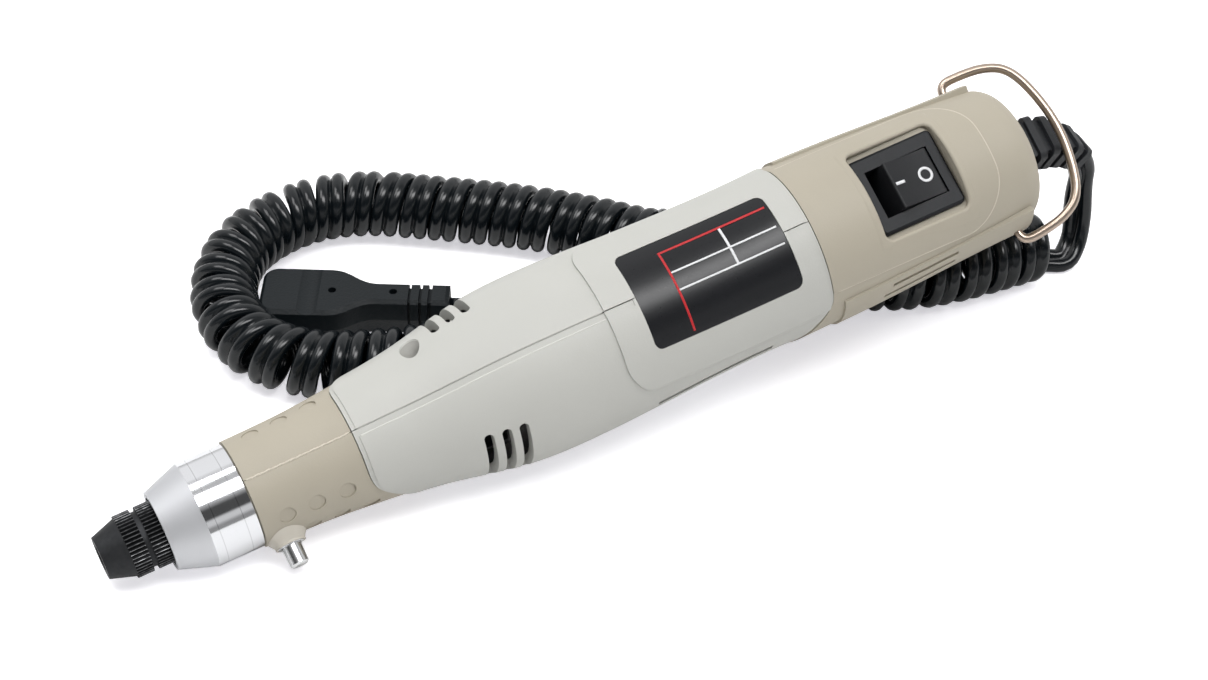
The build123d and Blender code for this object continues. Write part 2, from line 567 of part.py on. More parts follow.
    # Rear housing with spigot, rails, switch well, bail sockets and boot hole
    last = REAR_OUTLINE[-1]
    curve = Spline(*REAR_OUTLINE)
    end_r = last[1] - REAR_CORNER_R
    edges = [curve, JernArc(last, curve % 1, REAR_CORNER_R, -78)]
    tip = edges[1] @ 1
    edges.append(Line(tip, (REAR_END_X, end_r - 1)))
    edges.append(Line((REAR_END_X, end_r - 1), (REAR_END_X, 0)))
    edges.append(Line((REAR_END_X, 0), (REAR_OUTLINE[0][0], 0)))
    edges.append(Line((REAR_OUTLINE[0][0], 0), REAR_OUTLINE[0]))
    hull = revolve(make_face(edges), Axis.X)
    rear = hull & rear_zone
    panel_y = PANEL_SHARE * REAR_OUTLINE[2][1]
    panel = RectangleRounded(PANEL_END_X - 90, 2 * panel_y, PANEL_CORNER_R)
    panel = extrude(Pos((PANEL_END_X + 90) / 2, 0, 0) * panel, 30)
    rear += panel & skin(REAR_OUTLINE, -PANEL_HEIGHT) & rear_zone
    rear += spigot_skin & block(REAR_SPIGOT_X, 113.9, -30, 30, -30, 30)
    for side in (-1, 1):
        lo, hi = sorted((side * RAIL_FROM, side * RAIL_TO))
        crest = [(x, r + RAIL_HEIGHT) for x, r in REAR_OUTLINE[1:3]]
        crest.append((REAR_OUTLINE[3][0], REAR_OUTLINE[3][1] + (RAIL_HEIGHT + BOSS_HEIGHT) / 2))
        crest.append((REAR_OUTLINE[4][0], REAR_OUTLINE[4][1] + BOSS_HEIGHT))
        crest.append((REAR_END_X + 3, REAR_OUTLINE[4][1] + BOSS_HEIGHT - 0.6))
        rear += sector(RAIL[0], RAIL[1], 8, 24, lo, hi) & skin(crest)
    well_x = BEZEL[0] / 2 + 1.4
    well_y = BEZEL[1] / 2 + 2.4
    well = block(SWITCH_X - well_x, SWITCH_X + well_x, -well_y, well_y, SWITCH_SEAT_Z - 2.4, 20)
    well = well & skin(REAR_OUTLINE, 0.5)
    x0 = SWITCH_X - well_x
    x1 = SWITCH_X + well_x
    rim = turned((x0 - RIM_RUN, radius_at(REAR_OUTLINE, x0) - 1),
                 (x1 + RIM_RUN, radius_at(REAR_OUTLINE, x1) - 1),
                 (x1 + RIM_RUN, radius_at(REAR_OUTLINE, x1 + RIM_RUN)),
                 (x1, radius_at(REAR_OUTLINE, x1) + RIM_HEIGHT),
                 (x0, radius_at(REAR_OUTLINE, x0) + RIM_HEIGHT),
                 (x0 - RIM_RUN, radius_at(REAR_OUTLINE, x0 - RIM_RUN)))
    rear_r = REAR_OUTLINE[2][1]
    edge_z = math.sqrt((rear_r + RIM_HEIGHT) ** 2 - well_y ** 2)
    foot_z = math.sqrt(rear_r ** 2 - (well_y + RIM_RUN) ** 2)
    across = [(well_y + RIM_RUN, 4), (well_y + RIM_RUN, foot_z), (well_y, edge_z), (well_y, 30)]
    across += [(-y, z) for y, z in reversed(across)]
    sides = extrude(Plane.YZ * make_face(Polyline(*across, close=True)), 300)
    wall_x = REAR_END_X - REAR_WALL - 0.4
    rear -= spigot_bore & block(90, 113.8, -30, 30, -30, 30)
    rear -= skin(REAR_OUTLINE, REAR_WALL) & block(113.7, 157, -30, 30, -30, 30)
    rear -= ring(150, wall_x, end_r + 1.6)
    rear += well
    rear += rim & sides
    pocket_x = BEZEL[0] / 2 + 0.25
    pocket_y = BEZEL[1] / 2 + 1.1
    pocket = block(SWITCH_X - pocket_x, SWITCH_X + pocket_x, -pocket_y, pocket_y, SWITCH_SEAT_Z, 30)
    rear -= fillet(pocket.edges().filter_by(Axis.Z), 1.5)
    mouth = []
    for edge in rear.edges():
        ends = [edge.position_at(share) for share in (0, 0.5, 1)]
        inside = all(abs(q.X - SWITCH_X) < pocket_x + 0.02 and abs(q.Y) < pocket_y + 0.02 for q in ends)
        above = all(q.Z > SWITCH_SEAT_Z + 0.2 for q in ends)
        if inside and above and abs(ends[2].Z - ends[0].Z) < 0.9 * edge.length:
            mouth.append(edge)
    rear = fillet(mouth, RIM_ROUND)
    cut_x = SWITCH_BODY[0] / 2 + MOULD_GAP
    cut_y = SWITCH_BODY[1] / 2 + MOULD_GAP
    rear -= block(SWITCH_X - cut_x, SWITCH_X + cut_x, -cut_y, cut_y, 0, 30)
    for side in (-1, 1):
        for angle, x0, x1 in RAIL_GROOVES:
            groove = block(x0, x1, -0.45, 0.45, 10, 20)
            groove = Rot(side * angle, 0, 0) * groove
            rear -= groove - skin(REAR_OUTLINE, 0.15)
    rear -= rod((BAIL_X, -30, 0), (BAIL_X, 30, 0), BAIL_R + PIVOT_GAP)
    hole = (BOOT_NECK[0] / 2 + MOULD_GAP, BOOT_NECK[1] / 2 + MOULD_GAP)
    rear -= block(wall_x - 1, REAR_END_X + 1, -hole[0], hole[0], BOOT_Z - hole[1], BOOT_Z + hole[1])
    parts["rear_housing"] = rear


def make_switch():
    """Rocker switch in the housing's well, resting with its rear side pressed."""
    body_x, body_y = SWITCH_BODY
    top = SWITCH_SEAT_Z + BEZEL[2]
    bezel = Pos(SWITCH_X, 0, SWITCH_SEAT_Z + SEAT_GAP + BEZEL[2] / 2) * Box(*BEZEL)
    bezel = fillet(bezel.edges().filter_by(Axis.Z), BEZEL_CORNER_R)
    bezel = chamfer(bezel.edges().group_by(Axis.Z)[-1], 0.5)
    foot = SWITCH_SEAT_Z - SWITCH_DEPTH
    frame = bezel + block(SWITCH_X - body_x / 2, SWITCH_X + body_x / 2, -body_y / 2, body_y / 2,
                          foot, SWITCH_SEAT_Z + 0.5)
    open_x, open_y = ROCKER_OPENING
    frame -= block(SWITCH_X - open_x / 2, SWITCH_X + open_x / 2, -open_y / 2, open_y / 2, foot + 2, top + 1)
    hole = ROCKER_PIN_R + RUN_GAP
    reach = ROCKER_PIN_REACH + MOULD_GAP
    frame -= rod((SWITCH_X, -reach, ROCKER_PIVOT_Z), (SWITCH_X, reach, ROCKER_PIVOT_Z), hole)
    blade_x, blade_y, blade_z = TERMINAL
    blades = []
    for dx in (-4.0, 4.0):
        x = SWITCH_X + dx
        gap = SEAT_GAP
        frame -= block(x - blade_x / 2 - gap, x + blade_x / 2 + gap, -blade_y / 2 - gap, blade_y / 2 + gap,
                       foot - 1, foot + 3)
        blades.append(block(x - blade_x / 2, x + blade_x / 2, -blade_y / 2, blade_y / 2, foot - blade_z,
                            foot + 2.6))
    parts["switch_frame"] = frame
    parts["switch_terminals"] = Part() + blades

    dish = ThreePointArc((-ROCKER_HALF, ROCKER_PEAK), (0, ROCKER_VALLEY), (ROCKER_HALF, ROCKER_PEAK))
    sides = Polyline((ROCKER_HALF, ROCKER_PEAK), (ROCKER_HALF, 0), (3.4, -2.6), (-3.4, -2.6),
                     (-ROCKER_HALF, 0), (-ROCKER_HALF, ROCKER_PEAK))
    rocker = extrude(Plane.XZ * make_face([dish, sides]), ROCKER_WIDTH / 2, both=True)
    rocker = fillet(rocker.edges().filter_by(Axis.Y).group_by(Axis.Z)[-1], ROCKER_ROUND)
    rocker += rod((0, -ROCKER_PIN_REACH, 0), (0, ROCKER_PIN_REACH, 0), ROCKER_PIN_R)
    parts["switch_rocker"] = Pos(SWITCH_X, 0, ROCKER_PIVOT_Z) * Rot(0, ROCKER_TILT, 0) * rocker

    wires = []
    blade_end = foot - blade_z - SEAT_GAP
    for side, dx in ((-1, -4.0), (1, 4.0)):
        x = SWITCH_X + dx
        low = blade_end - 2.7
        path = FilletPolyline((ENDBELL_X + 4 + SEAT_GAP, side * 9, 0), (ENDBELL_X + 13, side * 8.6, 0),
                              (ENDBELL_X + 25, side * 5, low / 2), (SWITCH_X - 9, side * 1.2, low),
                              (x, side * 1.2, low), (x, side * 1.2, blade_end), radius=1.3)
        section = Plane(origin=path @ 0, z_dir=path % 0) * RegularPolygon(WIRE_R, 6)
        wires.append(sweep(section, path))
    parts["motor_wires"] = Part() + wires


def boot_plane(run):
    """Section plane of the boot, which droops and turns level along its length."""
    share = max(0.0, run / BOOT_LENGTH)
    bend = BOOT_DROOP * share
    roll = math.radians(ROLL)
    down = Vector(0, -math.sin(roll), -math.cos(roll))
    turn = math.radians(-ROLL * share)
    side = Vector(0, math.cos(turn), math.sin(turn))
    hinge = Axis((0, 0, 0), Vector(1, 0, 0).cross(down))
    radius = BOOT_LENGTH / math.radians(BOOT_DROOP)
    angle = math.radians(bend)
    centre = Vector(REAR_END_X, 0, BOOT_Z) + down * (radius * (1 - math.cos(angle)))
    centre += Vector(1, 0, 0) * (radius * math.sin(angle))
    return Plane(origin=centre, x_dir=side.rotate(hinge, bend), z_dir=Vector(1, 0, 0).rotate(hinge, bend))


def make_rear_end():
    """Bail and ribbed boot."""
    points = [(0, -y, u) for y, u in BAIL_OUTLINE] + [(0, 0, BAIL_TOP)]
    points += [(0, y, u) for y, u in reversed(BAIL_OUTLINE)]
    path = FilletPolyline(*points, radius=BAIL_BENDS + [BAIL_TOP_BEND] + BAIL_BENDS[::-1])
    loop = sweep(Plane(origin=points[0], z_dir=path % 0) * Circle(BAIL_R), path)
    parts["bail"] = Pos(BAIL_X, 0, 0) * Rot(0, 90 - BAIL_RISE, 0) * loop

    wall_x = REAR_END_X - REAR_WALL - 0.4
    boot = block(wall_x - 2.2, wall_x - SEAT_GAP, -BOOT_FLANGE[0] / 2, BOOT_FLANGE[0] / 2,
                 BOOT_Z - BOOT_FLANGE[1] / 2, BOOT_Z + BOOT_FLANGE[1] / 2)
    boot += block(wall_x - 1, REAR_END_X + 0.5, -BOOT_NECK[0] / 2, BOOT_NECK[0] / 2,
                  BOOT_Z - BOOT_NECK[1] / 2, BOOT_Z + BOOT_NECK[1] / 2)
    spans = 6
    sections = []
    for step in range(spans + 1):
        share = step / spans
        size = [BOOT_CORE_SHARE * (a + (b - a) * share) for a, b in zip(BOOT_ROOT, BOOT_TIP)]
        sections.append(boot_plane(BOOT_LENGTH * share) * Rectangle(*size))
    boot += loft(sections, ruled=True)
    thick = BOOT_LENGTH / BOOT_RIBS * 0.52
    for rib in range(BOOT_RIBS):
        share = rib / (BOOT_RIBS - 1)
        run = SEAT_GAP + (BOOT_LENGTH - thick - 0.6) * share
        size = [a + (b - a) * share for a, b in zip(BOOT_ROOT, BOOT_TIP)]
        plate = extrude(boot_plane(run) * RectangleRounded(size[0], size[1], 1.4), thick)
        boot += plate
    parts["strain_relief"] = boot


make_nose()
make_lock()
make_motor()
make_body()
make_switch()
make_rear_end()

# Lay the tool down: its lowest point is the collar's edge
lean = math.cos(math.radians(TILT))
LAY = Pos(0, 0, COLLAR_R * lean) * Rot(0, -TILT, 0) * Rot(ROLL, 0, 0) * Pos(COLLAR_LENGTH, 0, 0)
for name in list(parts):
    parts[name] = LAY * parts[name]


def tube(points, label):
    """Six-sided tube along straight runs and tangent arcs, with its radii and volume checked."""
    path_points = [Vector(*p) for p in points]
    radii = []
    for a, b, c in zip(path_points, path_points[1:], path_points[2:]):
        turn = math.radians((b - a).get_angle(c - b))
        radii.append(0.45 * min((b - a).length, (c - b).length) / math.tan(max(turn, 0.02) / 2))
    path = FilletPolyline(*path_points, radius=radii)
    shape = sweep(Plane(origin=path @ 0, z_dir=path % 0) * RegularPolygon(CORD_D / 2, CORD_SIDES), path)
    expected = RegularPolygon(CORD_D / 2, CORD_SIDES).area * path.length
    print(label, "length", round(path.length, 1), "radii", [round(r, 1) for r in radii],
          "volume ratio", round(shape.volume / expected, 4))
    return shape


def smooth_route(points, steps=24):
    """Points of the clamped quadratic B-spline whose control points are the route."""
    ctrl = [Vector(*p) for p in points]
    middles = [ctrl[0]] + [(a + b) * 0.5 for a, b in zip(ctrl[1:-2], ctrl[2:-1])] + [ctrl[-1]]
    out = []
    for start, knee, end in zip(middles, ctrl[1:-1], middles[1:]):
        for i in range(steps):
            t = i / steps
            out.append(start * ((1 - t) ** 2) + knee * (2 * t * (1 - t)) + end * (t * t))
    return out + [ctrl[-1]]


def coil_points():
    """Wire points, about half a turn apart, and tangents of a helix wound round the route."""
    axis = smooth_route([(x, y, COIL_Z) for x, y in COIL_ROUTE])
    mean_r = (COIL_D - CORD_D) / 2
    runs = [0.0]
    for a, b in zip(axis, axis[1:]):
        runs.append(runs[-1] + (b - a).length)
    total = runs[-1]
    weights = [0.0]
    for i in range(1, len(axis)):
        back = axis[max(i - 2, 0)]
        ahead = axis[min(i + 1, len(axis) - 1)]
        middle = axis[i]
        turn = math.radians((middle - back).get_angle(ahead - middle)) if ahead != middle else 0.0
        bend = 2 * turn / max((ahead - back).length, 1e-6)
        near_end = min(runs[i], total - runs[i]) / COIL_RAMP
        ease = 1.0 if near_end > 1 else 0.02 + 0.98 * near_end * near_end * (3 - 2 * near_end)
        weights.append(weights[-1] + (runs[i] - runs[i - 1]) * ease * (1 - mean_r * bend))
    phase_total = 360.0 * COIL_TURNS + COIL_END_PHASE - COIL_START_PHASE
    phases = [phase_total * w / weights[-1] for w in weights]

    def at(phase):
        i = max(k for k in range(len(phases) - 1) if phases[k] <= phase + 1e-9)
        share = (phase - phases[i]) / (phases[i + 1] - phases[i])
        share = min(max(share, 0.0), 1.0)
        place = axis[i] + (axis[i + 1] - axis[i]) * share
        here = axis[min(i + 1, len(axis) - 1)] - axis[max(i - 1, 0)]
        there = axis[min(i + 2, len(axis) - 1)] - axis[i]
        ahead = (here * (1 - share) + there * share).normalized()
        left = Vector(0, 0, 1).cross(ahead).normalized()
        angle = math.radians(phase + COIL_START_PHASE)
        return place + left * (mean_r * math.cos(angle)) + Vector(0, 0, mean_r * math.sin(angle))

    count = round(phase_total / 180.0)
    points = []
    tangents = []
    for k in range(count + 1):
        phase = phase_total * k / count
        a = at(max(phase - 2.0, 0.0))
        b = at(min(phase + 2.0, phase_total))
        points.append(at(phase))
        tangents.append((b - a).normalized())
    return points, tangents


def biarc(p0, t0, p1, t1):
    """Two tangent arcs from one point and direction to another."""
    chord = p1 - p0
    both = t0 + t1
    spread = 2 * (1 - t0.dot(t1))
    across = chord.dot(both)
    if spread < 1e-6:
        return [Edge.make_line(p0, p1)]
    reach = (math.sqrt(across * across + spread * chord.dot(chord)) - across) / spread
    knee = (p0 + p1 + (t0 - t1) * reach) * 0.5
    middle = ((p1 - t1 * reach) - (p0 + t0 * reach)).normalized()
    return [Edge.make_tangent_arc(p0, t0, knee), Edge.make_tangent_arc(knee, middle, p1)]


def make_coil():
    """One unbroken wound tube with straight ends; returns its end points and directions."""
    points, tangents = coil_points()
    first = points[0] - tangents[0] * 1.0
    last = points[-1] + tangents[-1] * CORD_D
    edges = [Edge.make_line(first, points[0])]
    for i in range(len(points) - 1):
        edges += biarc(points[i], tangents[i], points[i + 1], tangents[i + 1])
    edges.append(Edge.make_line(points[-1], last))
    samples = []
    for edge in edges:
        samples += [edge.position_at(t / 8) for t in range(8)]
    least = min((samples[i] - samples[j]).length
                for i in range(len(samples)) for j in range(i + 16, min(i + 80, len(samples))))
    length = sum(e.length for e in edges)
    print("coil arcs", len(edges), "length", round(length), "least self gap", round(least - CORD_D, 2))
    path = Wire(edges)
    section = Plane(origin=first, z_dir=tangents[0]) * RegularPolygon(CORD_D / 2, CORD_SIDES)
    parts["cord_coil"] = sweep(section, path, clean=False)
    ratio = parts["cord_coil"].volume / (section.area * length)
    print("coil volume ratio", round(ratio, 4))
    return first, tangents[0], last, tangents[-1]


def make_cord():
    """Lead, coil and tail, and the plug at the end."""
    start, start_dir, end, end_dir = make_coil()
    boot_end = LAY * Location(boot_plane(BOOT_LENGTH))
    exit_at = boot_end.position
    exit_dir = Plane(boot_end).z_dir
    knee = start - start_dir * LEAD_FOOT
    bend = exit_at + exit_dir * 4.5
    drop = Vector((bend.X + knee.X) / 2 + 0.4, (bend.Y + knee.Y) / 2, knee.Z + LEAD_DROP)
    lead = [exit_at, bend, drop, knee, start]
    parts["cord_lead"] = tube(lead, "lead")

    heading = Vector(*PLUG_HEADING, 0).normalized()
    tail_at = Vector(*PLUG_TAIL, PLUG_THICK / 2)
    low = CORD_D / 2 + 0.05
    route = [(x, y, low) for x, y in TAIL_ROUTE]
    route[-1] = (*TAIL_ROUTE[-1], (low + tail_at.Z) / 2)
    tail = [end, end + end_dir * 9.0] + route + [tail_at - heading * 6.0, tail_at]
    parts["cord_tail"] = tube(tail, "tail")

    frame = Plane(origin=(PLUG_TAIL[0], PLUG_TAIL[1], 0), x_dir=heading, z_dir=(0, 0, 1))
    sections = []
    for grow in (PLUG_DRAFT, 0):
        half_w = PLUG_WIDTH / 2 + grow
        half_t = PLUG_TAIL_WIDTH / 2 + grow
        edges = []
        for side in (-1, 1):
            edges.append(Line((0, side * half_t), (PLUG_NECK, side * half_t)))
            edges.append(Spline((PLUG_NECK, side * half_t), (PLUG_FLARE, side * half_w),
                                tangents=[(1, 0), (1, 0)]))
            edges.append(Line((PLUG_FLARE, side * half_w), (PLUG_LENGTH, side * half_w)))
        edges.append(Line((0, -half_t), (0, half_t)))
        edges.append(Line((PLUG_LENGTH, -half_w), (PLUG_LENGTH, half_w)))
        face = make_face(edges)
        face = fillet([v for v in face.vertices() if v.X > PLUG_LENGTH - 1], PLUG_CORNER_R)
        sections.append(Pos(0, 0, PLUG_THICK / 2 if grow else PLUG_THICK) * face)
    plug = loft(sections, ruled=True)
    plug = chamfer(plug.edges().group_by(Axis.Z)[-1], 0.7)
    plug += mirror(plug, Plane.XY.offset(PLUG_THICK / 2))
    core = half_t - 0.8
    for x0, x1 in PLUG_PLATES:
        groove = block(x0, x1, -8, 8, -1, PLUG_THICK + 1)
        plug -= groove - block(x0 - 1, x1 + 1, -core, core, 0.9, PLUG_THICK - 0.9)
    for x in PLUG_HOLES:
        plug -= Pos(x, 0, PLUG_THICK) * Cylinder(0.8, 2.4)
    band_x, band_width, band_depth = PLUG_BAND
    band_r = ((band_width / 2) ** 2 + band_depth ** 2) / (2 * band_depth)
    for z in (PLUG_THICK + band_r - band_depth, band_depth - band_r):
        plug -= rod((band_x, -12, z), (band_x, 12, z), band_r)
    contacts = []
    for side in (-1, 1):
        y = side * CONTACT_PITCH / 2
        mid = PLUG_THICK / 2
        front = PLUG_LENGTH
        plug -= rod((front - CONTACT_DEPTH, y, mid), (front + 1, y, mid), CONTACT_R + SEAT_GAP)
        sleeve = rod((front - CONTACT_DEPTH + SEAT_GAP, y, mid), (front - 0.4, y, mid), CONTACT_R)
        sleeve -= rod((front - CONTACT_DEPTH + 2, y, mid), (front + 1, y, mid), CONTACT_BORE_R)
        contacts.append(sleeve)
    place = Location(frame)
    parts["plug_body"] = place * plug
    parts["plug_contacts"] = place * (Part() + contacts)


CORD_NODES = {"cord_lead", "cord_coil", "cord_tail", "plug_body", "plug_contacts"}
make_cord()

# Put the row's origin under the middle of the tool, cord left out
boxes = [shape.bounding_box() for name, shape in parts.items() if name not in CORD_NODES]
shift_x = -(min(b.min.X for b in boxes) + max(b.max.X for b in boxes)) / 2
shift_y = -(min(b.min.Y for b in boxes) + max(b.max.Y for b in boxes)) / 2
print("row shift", round(shift_x, 4), round(shift_y, 4), "lowest", round(min(b.min.Z for b in boxes), 4))

if __name__ == "__main__":
    os.makedirs("parts", exist_ok=True)
    for name, shape in parts.items():
        export_step(Pos(shift_x, shift_y, 0) * shape, "parts/" + name + ".step")
    print(len(parts), "nodes")
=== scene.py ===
import json
import math

import bpy
import numpy as np
from mathutils import Matrix, Vector


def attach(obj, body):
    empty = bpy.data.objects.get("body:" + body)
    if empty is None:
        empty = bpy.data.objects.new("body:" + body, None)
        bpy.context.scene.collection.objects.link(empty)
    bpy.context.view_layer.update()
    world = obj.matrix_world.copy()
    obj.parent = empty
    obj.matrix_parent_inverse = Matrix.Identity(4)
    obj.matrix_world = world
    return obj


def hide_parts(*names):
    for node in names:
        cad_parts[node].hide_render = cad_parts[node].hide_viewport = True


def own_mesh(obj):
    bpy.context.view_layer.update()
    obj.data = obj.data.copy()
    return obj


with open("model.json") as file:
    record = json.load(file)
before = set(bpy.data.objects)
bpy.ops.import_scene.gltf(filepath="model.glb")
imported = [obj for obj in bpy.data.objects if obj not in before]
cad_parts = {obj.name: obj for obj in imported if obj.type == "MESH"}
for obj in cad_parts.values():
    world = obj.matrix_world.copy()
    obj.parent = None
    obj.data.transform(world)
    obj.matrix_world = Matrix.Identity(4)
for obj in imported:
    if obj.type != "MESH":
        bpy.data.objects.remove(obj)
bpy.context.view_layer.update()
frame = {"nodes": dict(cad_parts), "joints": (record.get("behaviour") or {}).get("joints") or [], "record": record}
nodes = frame["nodes"]
scene = bpy.context.scene
MM = 0.001
ROUND = 2 * math.pi

# Tool frame, read from the joints: X along the axis towards the cord, Y away from the lock
# button, Z to the switch, with its origin at the rear edge of the collar
joint = {j["name"]: j for j in frame["joints"]}
X_WAY = -np.array(joint["spindle_turn"]["axis"])
Y_WAY = np.array(joint["lock_press"]["axis"])
Z_WAY = np.cross(X_WAY, Y_WAY)
TOOL = np.stack([X_WAY, Y_WAY, Z_WAY])
TOOL_AT = np.array(joint["spindle_turn"]["pos_m"])
COLLAR_LENGTH = 9.0
# Table frame: origin on the table under the collar's front edge, X along the tool, Y away
TABLE_AT = (TOOL_AT - COLLAR_LENGTH * MM * X_WAY) * (1, 1, 0)


def tool_point(points):
    """Row-frame metres of tool-frame millimetres: origin plus x, y, z along the tool's axes."""
    return TOOL_AT + np.asarray(points, float) * MM @ TOOL


def table_point(points):
    """Row-frame metres of table-frame millimetres: the table origin added."""
    return TABLE_AT + np.asarray(points, float) * MM


def unit(vectors):
    """Vectors divided by their lengths, row by row."""
    return vectors / np.linalg.norm(vectors, axis=-1, keepdims=True)


def smooth(share):
    """A share from 0 to 1 eased at both ends: t^2 (3 - 2t)."""
    return share * share * (3 - 2 * share)


# Materials: how far a pattern shifts the gloss, clouds of tone per mm, and the depth in metres of grain
# and of tooling marks
GLOSS_SPREAD = 0.06
CLOUDS_PER_MM = 0.09
GRAIN_DEPTH = 0.0002
TOOLING_DEPTH = 0.0001


def linear(code):
    """Linear RGBA of an sRGB hex value: c / 12.92 up to 0.04045, then ((c + 0.055) / 1.055) ^ 2.4."""
    c = np.array([int(code[i:i + 2], 16) for i in (1, 3, 5)]) / 255
    return (*np.where(c <= 0.04045, c / 12.92, ((c + 0.055) / 1.055) ** 2.4), 1.0)


def add(tree, kind, inputs=(), **settings):
    """Adds one node: settings are its properties, inputs its sockets by name or number, each with a value or
    with the output that feeds it."""
    node = tree.nodes.new(kind)
    for key, value in settings.items():
        setattr(node, key, value)
    for key, value in dict(inputs).items():
        if isinstance(value, bpy.types.NodeSocket):
            tree.links.new(value, node.inputs[key])
        else:
            node.inputs[key].default_value = value
    return node


def new_material(name, colour, **sockets):
    """A material with its shader's own sockets filled, and its tree and shader to build on."""
    material = bpy.data.materials.new(name)
    material.use_nodes = True
    shader = material.node_tree.nodes["Principled BSDF"]
    shader.inputs["Base Color"].default_value = linear(colour)
    for key, value in sockets.items():
        shader.inputs[key.replace("_", " ")].default_value = value
    return material, material.node_tree, shader


def tool_coordinates(tree):
    """Object coordinates turned into the tool frame, in millimetres."""
    place = add(tree, "ShaderNodeTexCoord").outputs["Object"]
    turn = Matrix(TOOL.tolist()).to_euler()
    shift = Vector((-TOOL @ TOOL_AT / MM).tolist())
    return add(tree, "ShaderNodeMapping", {"Vector": place, "Location": shift, "Rotation": turn,
                                           "Scale": [1 / MM] * 3}).outputs["Vector"]


def textured(tree, shader, pattern, roughness, relief, depth):
    """Gloss that wanders about its level with a pattern, and a slight relief from the same pattern."""
    gloss = add(tree, "ShaderNodeMapRange", {"Value": pattern, "To Min": roughness - GLOSS_SPREAD,
                                             "To Max": roughness + GLOSS_SPREAD})
    tree.links.new(gloss.outputs["Result"], shader.inputs["Roughness"])
    bump = add(tree, "ShaderNodeBump", {"Height": pattern, "Strength": relief, "Distance": depth})
    tree.links.new(bump.outputs["Normal"], shader.inputs["Normal"])


def moulded(name, colour, shade, roughness, grain=0.35, relief=0.08, specular=0.4):
    """Spark-eroded moulding: grain in the relief breaks up the gloss, with a faint cloud in tone. The grain,
    in mm, is coarser than the real one, so that it shows."""
    material, tree, shader = new_material(name, colour, Specular_IOR_Level=specular)
    place = tool_coordinates(tree)
    cloud = add(tree, "ShaderNodeTexNoise", {"Vector": place, "Scale": CLOUDS_PER_MM, "Detail": 4.0})
    tone = add(tree, "ShaderNodeMix", {"Factor": cloud.outputs["Fac"], "A": linear(colour),
                                       "B": linear(shade)}, data_type="RGBA")
    tree.links.new(tone.outputs["Result"], shader.inputs["Base Color"])
    fine = add(tree, "ShaderNodeTexNoise", {"Vector": place, "Scale": 1.0 / grain, "Detail": 2.0})
    textured(tree, shader, fine.outputs["Fac"], roughness, relief, GRAIN_DEPTH)
    return material


def worked_metal(name, colour, roughness, pitch, relief, turned=True):
    """Metal with tooling marks in gloss and slight relief: rings if turned, else specks. Their pitch, in mm,
    is coarser than the real one, so that they show."""
    material, tree, shader = new_material(name, colour, Metallic=1.0)
    place = tool_coordinates(tree)
    along = add(tree, "ShaderNodeSeparateXYZ", {"Vector": place}).outputs["X"]
    strands = add(tree, "ShaderNodeCombineXYZ", {"X": along}).outputs["Vector"] if turned else place
    rings = add(tree, "ShaderNodeTexNoise", {"Vector": strands, "Scale": 1.0 / pitch, "Detail": 3.0})
    textured(tree, shader, rings.outputs["Fac"], roughness, relief, TOOLING_DEPTH)
    return material


# Collar: where its cone ends along the tool, colour and gloss of cone and neck, rings and stains per mm
# with their shift of the gloss and the rings' relief, and two scribed lines either side of a middle
CONE_END = {"From Min": -9.15, "From Max": -8.95}
CONE_COLOUR, NECK_COLOUR, SCRIBED_COLOUR = "#cfd0d3", "#e6e7ea", "#c9cacd"
CONE_GLOSS, NECK_GLOSS = 0.55, 0.09
RINGS_PER_MM, STAINS_PER_MM = 6.0, 0.4
COLLAR_SHIFT = {"To Min": -0.03, "To Max": 0.03}
COLLAR_RELIEF = 0.012
SCRIBED_MIDDLE, SCRIBED_OFF = -4.9, 2.4
SCRIBED_LINE = {"From Min": 0.02, "From Max": 0.12}


